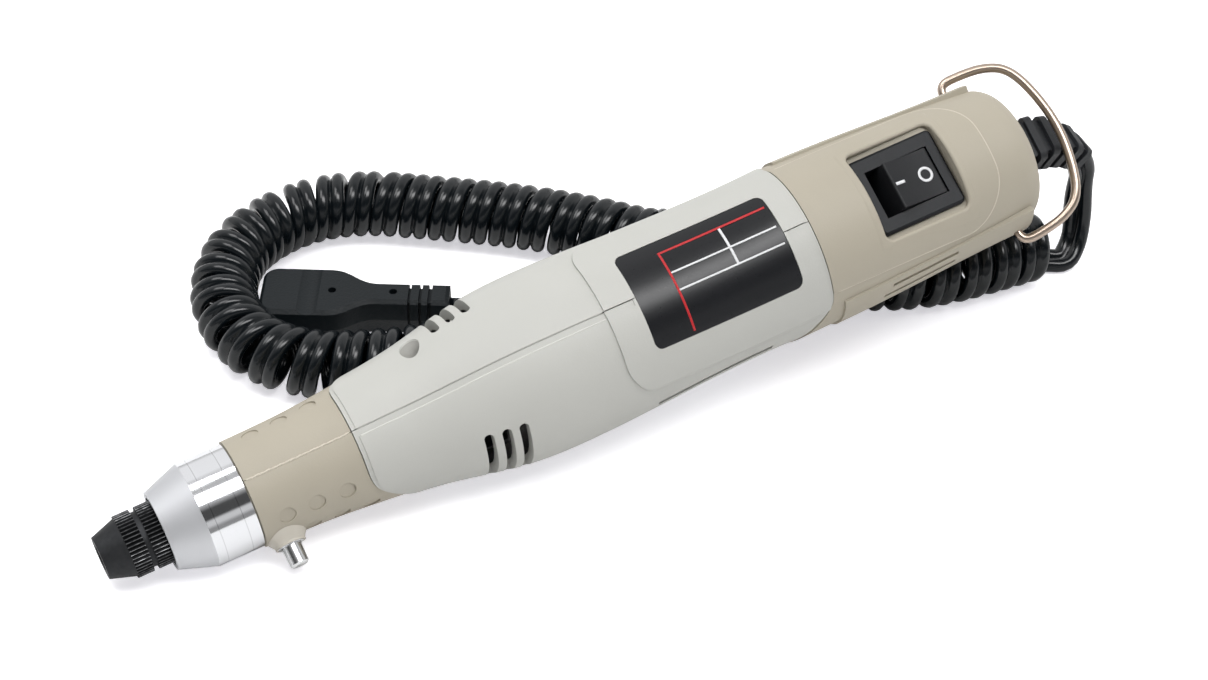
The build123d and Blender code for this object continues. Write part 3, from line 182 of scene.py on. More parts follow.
def collar_aluminium():
    """Turned aluminium: satin on the cone, polished on the neck, with fine rings and a few stains in the
    gloss and two faint scribed lines, so that the neck mirrors the room in streaks and the cone glows."""
    material, tree, shader = new_material("aluminium_turned", NECK_COLOUR, Metallic=1.0)
    place = tool_coordinates(tree)
    along = add(tree, "ShaderNodeSeparateXYZ", {"Vector": place}).outputs["X"]
    strands = add(tree, "ShaderNodeCombineXYZ", {"X": along}).outputs["Vector"]
    rings = add(tree, "ShaderNodeTexNoise", {"Vector": strands, "Scale": RINGS_PER_MM, "Detail": 4.0})
    stain = add(tree, "ShaderNodeTexNoise", {"Vector": place, "Scale": STAINS_PER_MM, "Detail": 5.0})
    base = add(tree, "ShaderNodeMapRange", {"Value": along, "To Min": CONE_GLOSS, "To Max": NECK_GLOSS,
                                            **CONE_END})
    ripple, patch = (add(tree, "ShaderNodeMapRange", {"Value": pattern.outputs["Fac"], **COLLAR_SHIFT})
                     for pattern in (rings, stain))
    both = add(tree, "ShaderNodeMath", {0: ripple.outputs["Result"], 1: patch.outputs["Result"]},
               operation="ADD")
    gloss = add(tree, "ShaderNodeMath", {0: base.outputs["Result"], 1: both.outputs[0]}, operation="ADD")
    tree.links.new(gloss.outputs[0], shader.inputs["Roughness"])
    off = add(tree, "ShaderNodeMath", {0: along, 1: SCRIBED_MIDDLE}, operation="SUBTRACT")
    away = add(tree, "ShaderNodeMath", {0: off.outputs[0]}, operation="ABSOLUTE")
    near = add(tree, "ShaderNodeMath", {0: away.outputs[0], 1: SCRIBED_OFF}, operation="SUBTRACT")
    apart = add(tree, "ShaderNodeMath", {0: near.outputs[0]}, operation="ABSOLUTE")
    line = add(tree, "ShaderNodeMapRange", {"Value": apart.outputs[0], **SCRIBED_LINE})
    satin = add(tree, "ShaderNodeMapRange", {"Value": along, **CONE_END})
    bare = add(tree, "ShaderNodeMix", {"Factor": satin.outputs["Result"], "A": linear(CONE_COLOUR),
                                       "B": linear(NECK_COLOUR)}, data_type="RGBA")
    tone = add(tree, "ShaderNodeMix", {"Factor": line.outputs["Result"], "A": linear(SCRIBED_COLOUR),
                                       "B": bare.outputs["Result"]}, data_type="RGBA")
    tree.links.new(tone.outputs["Result"], shader.inputs["Base Color"])
    bump = add(tree, "ShaderNodeBump", {"Height": rings.outputs["Fac"], "Strength": COLLAR_RELIEF,
                                        "Distance": TOOLING_DEPTH})
    tree.links.new(bump.outputs["Normal"], shader.inputs["Normal"])
    return material


# Nut: radii at which the knurl's dark hollows begin and at which its crests turn bare and pale, partly wear and
# partly a painted highlight, the crests' share of that from the blotches, blotches per mm, gloss of oxide and bare
# metal, and the colours
KNURL_HOLLOW = {"From Min": 5.58, "From Max": 5.66}
KNURL_CREST = {"From Min": 5.88, "From Max": 6.0}
CREST_WEAR_AND_HIGHLIGHT = {"From Min": 0.3, "From Max": 0.65, "To Min": 0.15, "To Max": 1.0}
BLOTCHES_PER_MM = 0.9
OXIDE_GLOSS, BARE_GLOSS = 0.55, 0.28
OXIDE_COLOUR, OXIDE_SHADE, HOLLOW_COLOUR, BARE_HIGHLIGHT_COLOUR = "#2a2b2d", "#3c3d3f", "#121315", "#8f9092"


def burnished_steel():
    """Black burnished steel: dull oxide on the plain faces, darker in the knurl's hollows, and pale bare metal on
    its crests, partly where handling wears them and partly a painted highlight along them."""
    material, tree, shader = new_material("steel_black_burnished", OXIDE_COLOUR, Metallic=0.85)
    place = tool_coordinates(tree)
    parts = add(tree, "ShaderNodeSeparateXYZ", {"Vector": place}).outputs
    spoke = add(tree, "ShaderNodeCombineXYZ", {"Y": parts["Y"], "Z": parts["Z"]}).outputs["Vector"]
    radius = add(tree, "ShaderNodeVectorMath", {0: spoke}, operation="LENGTH").outputs["Value"]
    crest = add(tree, "ShaderNodeMapRange", {"Value": radius, **KNURL_CREST})
    hollow = add(tree, "ShaderNodeMapRange", {"Value": radius, **KNURL_HOLLOW})
    blotch = add(tree, "ShaderNodeTexNoise", {"Vector": place, "Scale": BLOTCHES_PER_MM, "Detail": 5.0})
    rubbed_and_lit = add(tree, "ShaderNodeMapRange", {"Value": blotch.outputs["Fac"], **CREST_WEAR_AND_HIGHLIGHT})
    wear_and_highlight = add(tree, "ShaderNodeMath", {0: crest.outputs["Result"], 1: rubbed_and_lit.outputs["Result"]},
               operation="MULTIPLY")
    dull = add(tree, "ShaderNodeMix", {"Factor": blotch.outputs["Fac"], "A": linear(OXIDE_COLOUR),
                                       "B": linear(OXIDE_SHADE)}, data_type="RGBA")
    sunk = add(tree, "ShaderNodeMix", {"Factor": hollow.outputs["Result"], "A": dull.outputs["Result"],
                                       "B": linear(HOLLOW_COLOUR)}, data_type="RGBA")
    # Paler crests: partly bare metal worn by handling, partly a painted highlight
    tone = add(tree, "ShaderNodeMix", {"Factor": wear_and_highlight.outputs[0], "A": sunk.outputs["Result"],
                                       "B": linear(BARE_HIGHLIGHT_COLOUR)}, data_type="RGBA")
    tree.links.new(tone.outputs["Result"], shader.inputs["Base Color"])
    gloss = add(tree, "ShaderNodeMapRange", {"Value": wear_and_highlight.outputs[0], "To Min": OXIDE_GLOSS,
                                             "To Max": BARE_GLOSS})
    tree.links.new(gloss.outputs["Result"], shader.inputs["Roughness"])
    return material


LOOKS = {
    # Nylon casings: matt, one warm and one cool grey, with a paler bush
    "beige_nylon": moulded("beige_nylon_moulded", "#ada697", "#a7a091", 0.55),
    "grey_white_nylon": moulded("grey_white_nylon_moulded", "#bcbcb7", "#b7b7b2", 0.5),
    "pale_bush": moulded("pale_bush_moulded", "#c6c1b6", "#bdb7ac", 0.5),
    # Black plastics, from dry to glossy: only their highlights tell them apart
    "black_nylon": moulded("black_nylon_moulded", "#1b1d20", "#16181b", 0.5),
    "switch_black": moulded("switch_black_moulded", "#16181c", "#131519", 0.5, specular=0.3),
    "rocker_black": moulded("rocker_black_moulded", "#1b1c1f", "#17181b", 0.5, specular=0.33),
    "plug_black": moulded("plug_black_moulded", "#0b1317", "#080f13", 0.5, grain=0.5, relief=0.3,
                          specular=0.28),
    "black_rubber": moulded("boot_rubber_moulded", "#212327", "#1c1e22", 0.5, specular=0.45),
    "cord_black": moulded("cord_black_pvc_extruded", "#0e1317", "#0b1013", 0.19, grain=4.0, relief=0.01,
                          specular=0.4),
    "label_film": moulded("label_film_printed", "#121316", "#15161a", 0.3, relief=0.01),
    # Red insulation of the motor's wires: a soft sheen
    "wire_red": moulded("wire_red_pvc_extruded", "#a02a20", "#8f241b", 0.45),
    # Pressed and sintered blacks inside the motor: dusty, with no highlight
    "carbon": moulded("carbon_pressed", "#1a1a1b", "#141415", 0.7),
    "ferrite": moulded("ferrite_sintered", "#2b2b2d", "#232325", 0.75),
    # Metals: bright where turned or plated, soft where drawn, dark where burnished
    "turned_aluminium": collar_aluminium(),
    "burnished_steel": burnished_steel(),
    "zinc_steel": worked_metal("steel_zinc_plated", "#d9dadb", 0.18, 0.8, 0.02, turned=False),
    "bright_wire": worked_metal("steel_wire_bright_drawn", "#b4a496", 0.3, 1.5, 0.02, turned=False),
    "ground_steel": worked_metal("steel_ground", "#b9bbbe", 0.28, 0.3, 0.1),
    "spring_steel": worked_metal("steel_spring_hardened", "#8d8f92", 0.34, 0.3, 0.1),
    "core_steel": worked_metal("steel_core_laminated", "#6e7074", 0.5, 0.5, 0.4),
    "copper": worked_metal("copper_enamelled", "#b8683a", 0.32, 0.4, 0.2),
    "brass": worked_metal("brass_stamped", "#c9a65a", 0.32, 0.4, 0.1),
}
# Inks that lie bright and matt on the black, and nylon that is smoother and paler on a moulded edge, the paler
# colour a painted highlight, or rougher and darker in a bore, the darker colour painted shade
white_ink = moulded("ink_white_printed", "#e4e5e7", "#d9dadc", 0.5, relief=0.02)
red_ink = moulded("ink_red_printed", "#c3262c", "#b52027", 0.45, relief=0.02)
beige_edge_highlight = moulded("beige_nylon_painted_highlight", "#cac3b5", "#c1baab", 0.45)
grey_edge_highlight = moulded("grey_white_nylon_painted_highlight", "#d6d6d1", "#cecec9", 0.45)
grey_bore_shade = moulded("grey_white_nylon_painted_shade", "#a3a29d", "#8f8e89", 0.6, grain=0.6, relief=0.3)

for part in frame["record"]["subparts"]:
    own = nodes[part["node"]].data.materials
    own.clear()
    own.append(LOOKS[part["material_slot"]])


def piece(name, points, faces, body, slot, material=None):
    """A smooth mesh piece riding on a body, in its slot's own look unless a material is given."""
    mesh = bpy.data.meshes.new(name)
    mesh.from_pydata(points.reshape(-1, 3), [], [tuple(f) for f in faces])
    mesh.validate()
    mesh.shade_smooth()
    mesh.materials.append(material or LOOKS[slot])
    made = bpy.data.objects.new(name, mesh)
    scene.collection.objects.link(made)
    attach(made, body)
    return made


def tube_faces(rows, columns, closed=False):
    """Quads of a grid that closes round its columns, and caps at both ends unless its rows close too."""
    r, c = np.meshgrid(np.arange(rows if closed else rows - 1), np.arange(columns), indexing="ij")
    n = (c + 1) % columns
    s = (r + 1) % rows
    quads = np.stack([r * columns + c, r * columns + n, s * columns + n, s * columns + c], -1)
    ends = [] if closed else [np.arange(columns)[::-1], (rows - 1) * columns + np.arange(columns)]
    return [*quads.reshape(-1, 4).tolist(), *[e.tolist() for e in ends]]


def ahead_of(line, closed=False):
    """Directions along a line of points: the difference of each point's neighbours."""
    if closed:
        return unit(np.roll(line, -1, 0) - np.roll(line, 1, 0))
    return unit(np.gradient(line, axis=0))


def swept(line, thin, outline, closed=False, widths=1.0, heights=1.0):
    """An outline carried along a line: line + side * x * width + thin * y * height, side = thin x ahead."""
    ahead = ahead_of(line, closed)
    side = unit(np.cross(thin, ahead))
    thin = np.cross(ahead, side)
    x = np.multiply.outer(np.broadcast_to(widths, len(line)), outline[:, 0])[..., None]
    y = np.multiply.outer(np.broadcast_to(heights, len(line)), outline[:, 1])[..., None]
    return line[:, None] + side[:, None] * x + thin[:, None] * y


def carried(name, line, thin, outline, body, slot, material=None, closed=False, **sizes):
    """A piece made by carrying an outline along tool-frame points, as swept does."""
    shape = swept(line, thin, outline, closed, **sizes)
    return piece(name, tool_point(shape), tube_faces(*shape.shape[:2], closed), body, slot, material)


def flat_strip(width, thick):
    """Outline of a printed or pressed strip: a rectangle sunk by half its thickness."""
    x, y = 0.5 * width, 0.5 * thick
    return np.array([(-x, -y), (x, -y), (x, y), (-x, y)])


def rounded_strip(half, root, shoulder, top, inset=0.05):
    """Outline of a moulded edge: a bow from its root over two shoulders, set in a little, to its top."""
    inner = half - inset
    return np.array([(-half, root), (-inner, shoulder), (0.0, top), (inner, shoulder), (half, root)])


def circle(radius, count):
    """Points (r cos a, r sin a) round a circle, the last one short of the first."""
    a = np.linspace(0, ROUND, count, endpoint=False)
    return radius * np.stack([np.cos(a), np.sin(a)], -1)


def tool_vertices(node):
    """A CAD node's vertices in tool-frame millimetres."""
    mesh = nodes[node].data
    found = np.zeros(3 * len(mesh.vertices))
    mesh.vertices.foreach_get("co", found)
    return (found.reshape(-1, 3) - TOOL_AT) @ TOOL.T / MM


def crown(node, half_angle, degree, slack=0.02):
    """Radius of a node's top as a polynomial in x, fitted to its vertices near the switch side and again to
    those of them that lie no more than a slack below the first fit."""
    x, y, z = tool_vertices(node).T
    radius = np.hypot(y, z)
    near = (np.abs(np.degrees(np.arctan2(y, z))) < half_angle) & (z > 0)
    rough = np.polyfit(x[near], radius[near], degree)
    outer = near & (radius > np.polyval(rough, x) - slack)
    return np.poly1d(np.polyfit(x[outer], radius[outer], degree))


def top_edge(node, start, end, half=0.2, lowest=9, reach=3, drop=1):
    """A node's outer radius along its top edge at y = 0, from the edge's own vertices: those whose radius
    is within a drop of the largest found a reach either way, joined by straight lines."""
    x, y, z = tool_vertices(node).T
    near = (np.abs(y) < half) & (z > lowest) & (x > start) & (x < end)
    x, r = x[near], np.hypot(y, z)[near]
    outer = r > np.where(np.abs(x[:, None] - x) < reach, r, 0).max(1) - drop
    order = np.argsort(x[outer])
    return lambda at: np.interp(at, x[outer][order], r[outer][order])


def on_crown(xy, radius, lift):
    """Points (x, y) raised on a turned surface to z = sqrt((r(x) + lift)^2 - y^2), and the way out there."""
    x, y = xy.T
    r = radius(x) + lift
    points = np.stack([x, y, np.sqrt(r * r - y * y)], -1)
    return points, unit(points * (0, 1, 1))


def route(points, fineness=24):
    """Points along the clamped NURBS spline of order 3 whose control points are given."""
    curve = bpy.data.curves.new("route", "CURVE")
    curve.dimensions = "3D"
    spline = curve.splines.new("NURBS")
    spline.points.add(len(points) - 1)
    spline.points.foreach_set("co", np.c_[points, np.ones(len(points))].ravel())
    spline.order_u = 3
    spline.use_endpoint_u = True
    spline.resolution_u = fineness
    line = bpy.data.objects.new("route", curve)
    mesh = bpy.data.meshes.new_from_object(line)
    found = np.zeros(3 * len(mesh.vertices))
    mesh.vertices.foreach_get("co", found)
    bpy.data.meshes.remove(mesh)
    bpy.data.curves.remove(curve)
    return found.reshape(-1, 3)


def respaced(line, step):
    """The line again with points an even step apart, and how far along each one is."""
    along = np.r_[0, np.cumsum(np.linalg.norm(np.diff(line, axis=0), axis=1))]
    at = np.linspace(0, along[-1], math.ceil(along[-1] / step) + 1)
    return np.stack([np.interp(at, along, line[:, k]) for k in range(3)], -1), at


# Twin cord in the table frame: two strands side by side with a web between them, wound as a curly cord.
# Its phase starts and ends at the bottom, in degrees. Its turns lie wider apart on the axis of a bend, whose
# inner side squeezes them, and slow down over a ramp at each end, where a straight stub follows
STRAND_R = 1.41
STRAND_APART = 1.46
WEB = 0.5
COIL_OUTER_R = 6.7
COIL_MEAN_R = COIL_OUTER_R - STRAND_R
COIL_Z = 6.72
COIL_TURNS = 45
COIL_SQUEEZE = 0.35
COIL_RAMP = 6.0
COIL_SLOWEST = 0.02
COIL_START = -90.0
COIL_END = -90.0
COIL_STEP = 10
COIL_STUB = (1.0, 4.2)
# Each slow shift of the turns: millimetres along the axis, waves per turn, and where it starts. They
# fade in and out over some degrees of winding
COIL_DRIFT = [(0.10, 0.37, 0.6), (0.07, 0.61, 2.1)]
COIL_DRIFT_FADE = 720
COIL_ROUTE = [(182.0, -2.2), (165, -1.7), (150, 1.0), (136, 8.6), (122, 14.3), (106, 18.9), (88, 21.4),
              (70, 22.4), (55, 22.8), (44.5, 26.2), (34.4, 31.0), (27.4, 39.4), (25.2, 49.6),
              (27.8, 60.8), (36.0, 70.6), (49.5, 74.8), (62.5, 72.2), (76, 63.0), (89.5, 53.4),
              (101.0, 43.2), (107.2, 36.4), (112.2, 32.2), (119.5, 31.8)]
# Lead: the boot's end and the way it points, how far the lead starts inside it, runs straight out of it
# and lands ahead of the coil, its drop to the table, and the share of its run over which it twists
BOOT_END = (186.487, 0.4216, 25.2423)
BOOT_WAY = (0.609315, 0.0, -0.792928)
BOOT_INSIDE, BOOT_AHEAD, LEAD_LANDING = 3.0, 4.0, 1.5
LEAD_DROP = [(188.7, 0.7, 15.8), (189.0, 0.4, 9.2), (188.6, -0.5, 4.8), (186.9, -1.8, 2.6)]
LEAD_TWIST_START, LEAD_TWIST_RUN = 0.3, 0.65
# Tail: its straight run out of the coil, its route on the table, its rise, and the plug's end, which it
# meets straight
TAIL_AHEAD = 9.0
TAIL_ROUTE = [(142, 36.2), (152.3, 38.6), (160.2, 33.0), (160.2, 23.6), (152.3, 17.4), (140, 17.4),
              (128, 21.2), (115, 24.5), (102, 28.8), (88, 31.4)]
TAIL_LIFT = (75, 32.0, 2.8)
TAIL_Z = COIL_Z - COIL_MEAN_R
PLUG_TAIL = (66.0, 36.1, 4.3)
PLUG_WAY = unit(np.array([-0.873, 0.488, 0.0]))
PLUG_BEFORE = 6.0
AXIS_STEP, LEAD_STEP, TAIL_STEP = 0.25, 0.8, 1.0


def curly(axis, along):
    """A helix round an axis line: left * R cos(phase) + up * R sin(phase), the phase falling with the run
    along the axis times (1 - squeeze * R * bend), eased to almost nothing over the ramp at each end. Slow
    sines shift the turns a little along the axis, so that the pairs lie unevenly."""
    ahead = unit(np.gradient(axis, axis=0))
    bend = np.linalg.norm(np.gradient(ahead, along, axis=0), axis=1)
    near = np.clip(np.minimum(along, along[-1] - along) / COIL_RAMP, 0, 1)
    ease = COIL_SLOWEST + (1 - COIL_SLOWEST) * smooth(near)
    rate = ease * (1 - COIL_SQUEEZE * COIL_MEAN_R * bend)
    wound = np.r_[0, np.cumsum((rate[1:] + rate[:-1]) / 2 * np.diff(along))]
    total = 360.0 * COIL_TURNS + COIL_START - COIL_END
    phase = wound / wound[-1] * total
    steps = np.linspace(0, total, math.ceil(total / COIL_STEP) + 1)
    place, way = (np.stack([np.interp(steps, phase, a[:, k]) for k in range(3)], -1)
                  for a in (axis, ahead))
    angle = np.radians(COIL_START - steps)[:, None]
    up = np.array([[0.0, 0.0, 1.0]])
    out = unit(np.cross(up, way)) * np.cos(angle) + up * np.sin(angle)
    turn = np.radians(steps)
    fade = np.clip(np.minimum(steps, total - steps) / COIL_DRIFT_FADE, 0, 1)
    drift = fade * sum(size * np.sin(waves * turn + start) for size, waves, start in COIL_DRIFT)
    return place + way * drift[:, None] + COIL_MEAN_R * out, out


def twin_outline(count=13):
    """Two circles of radius r, each open by asin(web / 2r) towards the other, with a web between them."""
    open_angle = math.pi - math.asin(WEB / 2 / STRAND_R)
    t = np.linspace(-open_angle, open_angle, count)
    arc = np.stack([STRAND_APART + STRAND_R * np.cos(t), STRAND_R * np.sin(t)], -1)
    return np.concatenate([arc, -arc])


def make_cord():
    """The whole cord as one swept twin outline: lead from the boot, curly length, tail to the plug. The
    lead twists by a quarter turn on its way down, so that the pair lies flat on the table."""
    axis, along = respaced(route(np.array([(x, y, COIL_Z) for x, y in COIL_ROUTE], float)), AXIS_STEP)
    coil, out = curly(axis, along)
    start_way = unit(coil[0] - coil[1])
    end_way = unit(coil[-1] - coil[-2]) * (1, 1, 0)
    start = coil[0] + start_way * COIL_STUB[0]
    end = coil[-1] + end_way * COIL_STUB[1]
    boot, boot_way = np.array(BOOT_END), np.array(BOOT_WAY)
    lead = [boot - BOOT_INSIDE * boot_way, boot + BOOT_AHEAD * boot_way, *LEAD_DROP,
            start + LEAD_LANDING * start_way, start]
    lead, _ = respaced(route(np.array(lead, float)), LEAD_STEP)
    tail = [end, end + TAIL_AHEAD * end_way, *[(x, y, TAIL_Z) for x, y in TAIL_ROUTE], TAIL_LIFT,
            np.array(PLUG_TAIL) - PLUG_BEFORE * PLUG_WAY, PLUG_TAIL]
    tail, _ = respaced(route(np.array(tail, float)), TAIL_STEP)
    share = (np.linspace(0, 1, len(lead)) - LEAD_TWIST_START) / LEAD_TWIST_RUN
    twist = 0.5 * math.pi * smooth(np.clip(share, 0, 1))[:, None]
    across = np.array([[0.0, 1.0, 0.0]])
    flat = unit(np.cross(ahead_of(lead), across))
    lead_thin = across * np.cos(twist) + flat * np.sin(twist)
    tail_thin = np.tile(out[-1], (len(tail), 1))
    line = np.concatenate([lead, coil, tail])
    thin = np.concatenate([lead_thin, out, tail_thin])
    shape = swept(line, thin, twin_outline())
    made = piece("twin_cord", table_point(shape), tube_faces(*shape.shape[:2]), "housing", "cord_black")
    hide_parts("cord_lead", "cord_coil", "cord_tail")


make_cord()

# Label: plain ruled lines printed on the bare film, each with its ends (x, y), its width and its ink
RULES = [("label_rule_across", [(85.2, -9.4), (85.2, 6.2)], 0.45, red_ink),
         ("label_rule_far", [(85.2, 6.0), (107.4, 6.0)], 0.45, red_ink),
         ("label_rule_upper", [(85.3, 1.6), (107.4, 1.6)], 0.35, white_ink),
         ("label_rule_lower", [(85.3, -1.9), (107.4, -1.9)], 0.35, white_ink),
         ("label_rule_post", [(97.7, -1.9), (97.7, 5.9)], 0.5, white_ink)]
RULE_STEP, RULE_LIFT, RULE_THICK = 0.4, 0.02, 0.08


def print_label():
    """Ruled lines as strips that follow the label's own radius and stand 0.06 mm proud of it."""
    film = crown("rating_label", half_angle=40, degree=2)
    for name, ends, width, ink in RULES:
        run, _ = respaced(np.c_[np.array(ends), np.zeros(2)], RULE_STEP)
        points, out = on_crown(run[:, :2], film, RULE_LIFT)
        carried(name, points, out, flat_strip(width, RULE_THICK), "housing", "label_film", ink)


print_label()

# Rocker marks, on the dished top of the rocker: pivot, rest tilt, and the arc of its face
ROCKER_PIVOT = np.array([135.65, 0.0, 5.198])
ROCKER_TILT = math.radians(11)
ROCKER_HALF, ROCKER_PEAK, ROCKER_VALLEY = 5.05, 8.4, 8.1
ROCKER_DISH = ROCKER_PEAK - ROCKER_VALLEY
ROCKER_DISH_R = (ROCKER_HALF ** 2 + ROCKER_DISH ** 2) / 2 / ROCKER_DISH
MARK_LIFT, MARK_THICK = 0.01, 0.06
STROKE_FROM, STROKE_TO, STROKE_Y, STROKE_WIDTH, STROKE_COUNT = -4.4, -2.3, 0.12, 0.6, 8
RING_AT, RING_R, RING_WIDTH, RING_COUNT = (2.4, -0.15), 1.27, 0.52, 56


def on_rocker(xy):
    """Points (x, y) on the rocker's top, z = valley + R - sqrt(R^2 - x^2), turned by its tilt."""
    x, y = xy.T
    rise = np.sqrt(ROCKER_DISH_R ** 2 - x * x)
    z = ROCKER_VALLEY + ROCKER_DISH_R - rise + MARK_LIFT
    c, s = math.cos(ROCKER_TILT), math.sin(ROCKER_TILT)
    way = unit(np.stack([-x, 0 * x, rise], -1))
    turn = np.array([[c, 0, -s], [0, 1, 0], [s, 0, c]])
    return ROCKER_PIVOT + np.stack([x, y, z], -1) @ turn, way @ turn


def print_rocker():
    """The on stroke and the off ring, white ink in strips that stand 0.04 mm proud."""
    x = np.linspace(STROKE_FROM, STROKE_TO, STROKE_COUNT)
    stroke = np.stack([x, np.full(STROKE_COUNT, STROKE_Y)], -1)
    carried("mark_on", *on_rocker(stroke), flat_strip(STROKE_WIDTH, MARK_THICK), "rocker",
            "rocker_black", white_ink)
    ring = np.array(RING_AT) + circle(RING_R, RING_COUNT)
    carried("mark_off", *on_rocker(ring), flat_strip(RING_WIDTH, MARK_THICK), "rocker", "rocker_black",
            white_ink, closed=True)


print_rocker()

# Grip flash: where the grip's top edge runs, its own run along the tool, its lift, the mean and the change
# of its place, width and height, its sines, each with its size, radians per mm and start, and its outline
GRIP_TOP = (-1, 21)
FLASH_FROM, FLASH_TO, FLASH_COUNT = 0.35, 20.4, 220
FLASH_LIFT = 0.05
FLASH_Y, FLASH_WIDTH, FLASH_HEIGHT = (-0.02, 0.035), (0.24, 0.03), (0.09, 0.02)
FLASH_WANDER = [(1.0, 2.9, 0.4), (0.7, 5.3, 1.3), (0.5, 11.7, 0.0)]
FLASH_JAG = [(1.0, 4.1, 2.0), (0.8, 9.3, 0.5), (0.6, 17.1, 1.1)]
FLASH_BOW = np.array([(-1.0, -1.4), (-0.55, 0.55), (0.0, 1.0), (0.55, 0.55), (1.0, -1.4)])


def grip_flash():
    """A thin ragged edge of nylon over the grip's joint: place, width and height wander by sines along x."""
    x = np.linspace(FLASH_FROM, FLASH_TO, FLASH_COUNT)
    wander, jag = (sum(size * np.sin(rate * x + start) for size, rate, start in waves)
                   for waves in (FLASH_WANDER, FLASH_JAG))
    y, widths, heights = (mean + change * wave for (mean, change), wave in (
        (FLASH_Y, wander), (FLASH_WIDTH, jag), (FLASH_HEIGHT, np.abs(jag))))
    points, out = on_crown(np.stack([x, y], -1), top_edge("right_grip", *GRIP_TOP), FLASH_LIFT)
    # The flash's paler nylon is a painted highlight along its crest
    carried("grip_flash", points, out, FLASH_BOW, "housing", "beige_nylon", beige_edge_highlight, widths=widths,
            heights=heights)


grip_flash()

# Shell joint: where its top edge runs, and each strip along it with its y, lift, outline and finish
SHELL_TOP = (21.3, 70.6)
SEAM_FROM, SEAM_TO, SEAM_COUNT = 21.9, 70.4, 140
# The edge strip's paler nylon is a painted highlight along the rebate's rounded edge
SEAM_STRIPS = [("shell_bed", 0.01, -0.2, flat_strip(0.2, 0.12), None),
               ("shell_edge", -1.42, 0.0, rounded_strip(0.17, -0.16, 0.02, 0.06), grey_edge_highlight)]


def shell_seam():
    """Bed of the shell joint, just below the skin, and the rounded edge of the rebate beside it: two
    outlines carried along the joint's top edge."""
    x = np.linspace(SEAM_FROM, SEAM_TO, SEAM_COUNT)
    skin = top_edge("left_shell", *SHELL_TOP)
    for name, y, lift, outline, finish in SEAM_STRIPS:
        points, out = on_crown(np.stack([x, np.full(SEAM_COUNT, y)], -1), skin, lift)
        carried(name, points, out, outline, "housing", "grey_white_nylon", finish)


shell_seam()

# Rear housing: its radius, a cubic through four points (x, r), and the raised panel round the switch,
# whose edge is rounded
REAR_LINE = np.array([(113.5, 16.199), (136.0, 15.498), (152.7, 14.447), (158.0, 13.947)])
REAR_R = np.poly1d(np.polyfit(*REAR_LINE.T, 3))
PANEL_START, PANEL_END, PANEL_HALF, PANEL_CORNER, PANEL_HEIGHT = 114.6, 152.5, 13.17, 9.0, 0.16
PANEL_BOW = rounded_strip(0.16, -0.2, 0.01, 0.04)
PANEL_STEP, PANEL_CORNER_COUNT = 0.5, 16


def panel_edge():
    """Rounded edge of the panel: an outline carried along two straights, two quarter circles and the end."""
    t = np.linspace(0, math.pi / 2, PANEL_CORNER_COUNT)
    turn = np.stack([PANEL_END + PANEL_CORNER * (np.sin(t) - 1),
                     PANEL_CORNER * (1 - np.cos(t)) - PANEL_HALF], -1)
    half = np.r_[[(PANEL_START, -PANEL_HALF)], turn]
    whole = np.r_[half, half[::-1] * (1, -1)]
    line, _ = respaced(np.c_[whole, np.zeros(len(whole))], PANEL_STEP)
    points, out = on_crown(line[:, :2], REAR_R, PANEL_HEIGHT)
    # The panel edge's paler nylon is a painted highlight along its rounded edge
    carried("panel_edge", points, out, PANEL_BOW, "housing", "beige_nylon", beige_edge_highlight)


panel_edge()

# Bores over the heads of the two shell screws, on the far side: places (x, z), radius, wall, where the
# wall starts, and how far below the skin it ends
SCREWS = [(37.3, 9.5), (39.2, -9.5)]
BORE_R, BORE_WALL, BORE_COUNT = 2.0, 0.05, 64
BORE_START, BORE_SUNK = 6.6, 0.3


def screw_bores():
    """Drafted wall of each screw bore: a thin ring from the head to just below the skin, where
    y = sqrt(r(x)^2 - z^2)."""
    skin = top_edge("left_shell", *SHELL_TOP)
    for n, place in enumerate(SCREWS):
        outer, inner = (np.array(place) + circle(r, BORE_COUNT) for r in (BORE_R, BORE_R - BORE_WALL))
        foot = np.full(BORE_COUNT, BORE_START)
        outer_mouth, inner_mouth = (np.sqrt(skin(at[:, 0]) ** 2 - at[:, 1] ** 2) - BORE_SUNK
                                    for at in (outer, inner))
        ends = [(outer, foot), (outer, outer_mouth), (inner, inner_mouth), (inner, foot)]
        shape = np.stack([np.stack([at[:, 0], y, at[:, 1]], -1) for at, y in ends], 1)
        # The bore wall's darker nylon is painted shade inside the bore
        piece(f"screw_bore_{n + 1}", tool_point(shape), tube_faces(*shape.shape[:2], closed=True),
              "housing", "grey_white_nylon", grey_bore_shade)


screw_bores()

# Spindle lock: its place along the tool, the ring round its pin, and its spring's wire
LOCK_X = 3.9
LOCK_RING_R, LOCK_RING_Y, LOCK_RING_COUNT = 2.22, -12.06, 72
LOCK_RING_EDGE = np.array([(-0.30, -0.1), (0.34, -0.1), (0.34, 0.02), (0.24, 0.12), (-0.22, 0.12),
                           (-0.30, 0.05)])
SPRING_R, SPRING_WIRE_R, SPRING_TURNS = 1.75, 0.2, 2
SPRING_COUNT, SPRING_SIDES = 97, 10


def lock_face():
    """Pressed metal ring round the lock pin, with a rounded outer edge: a strip carried round a circle."""
    x, z = circle(LOCK_RING_R, LOCK_RING_COUNT).T
    points = np.stack([LOCK_X + x, np.full(LOCK_RING_COUNT, LOCK_RING_Y), z], -1)
    out = np.tile((0.0, -1.0, 0.0), (LOCK_RING_COUNT, 1))
    carried("lock_face", points, out, LOCK_RING_EDGE, "housing", "zinc_steel", closed=True)


lock_face()


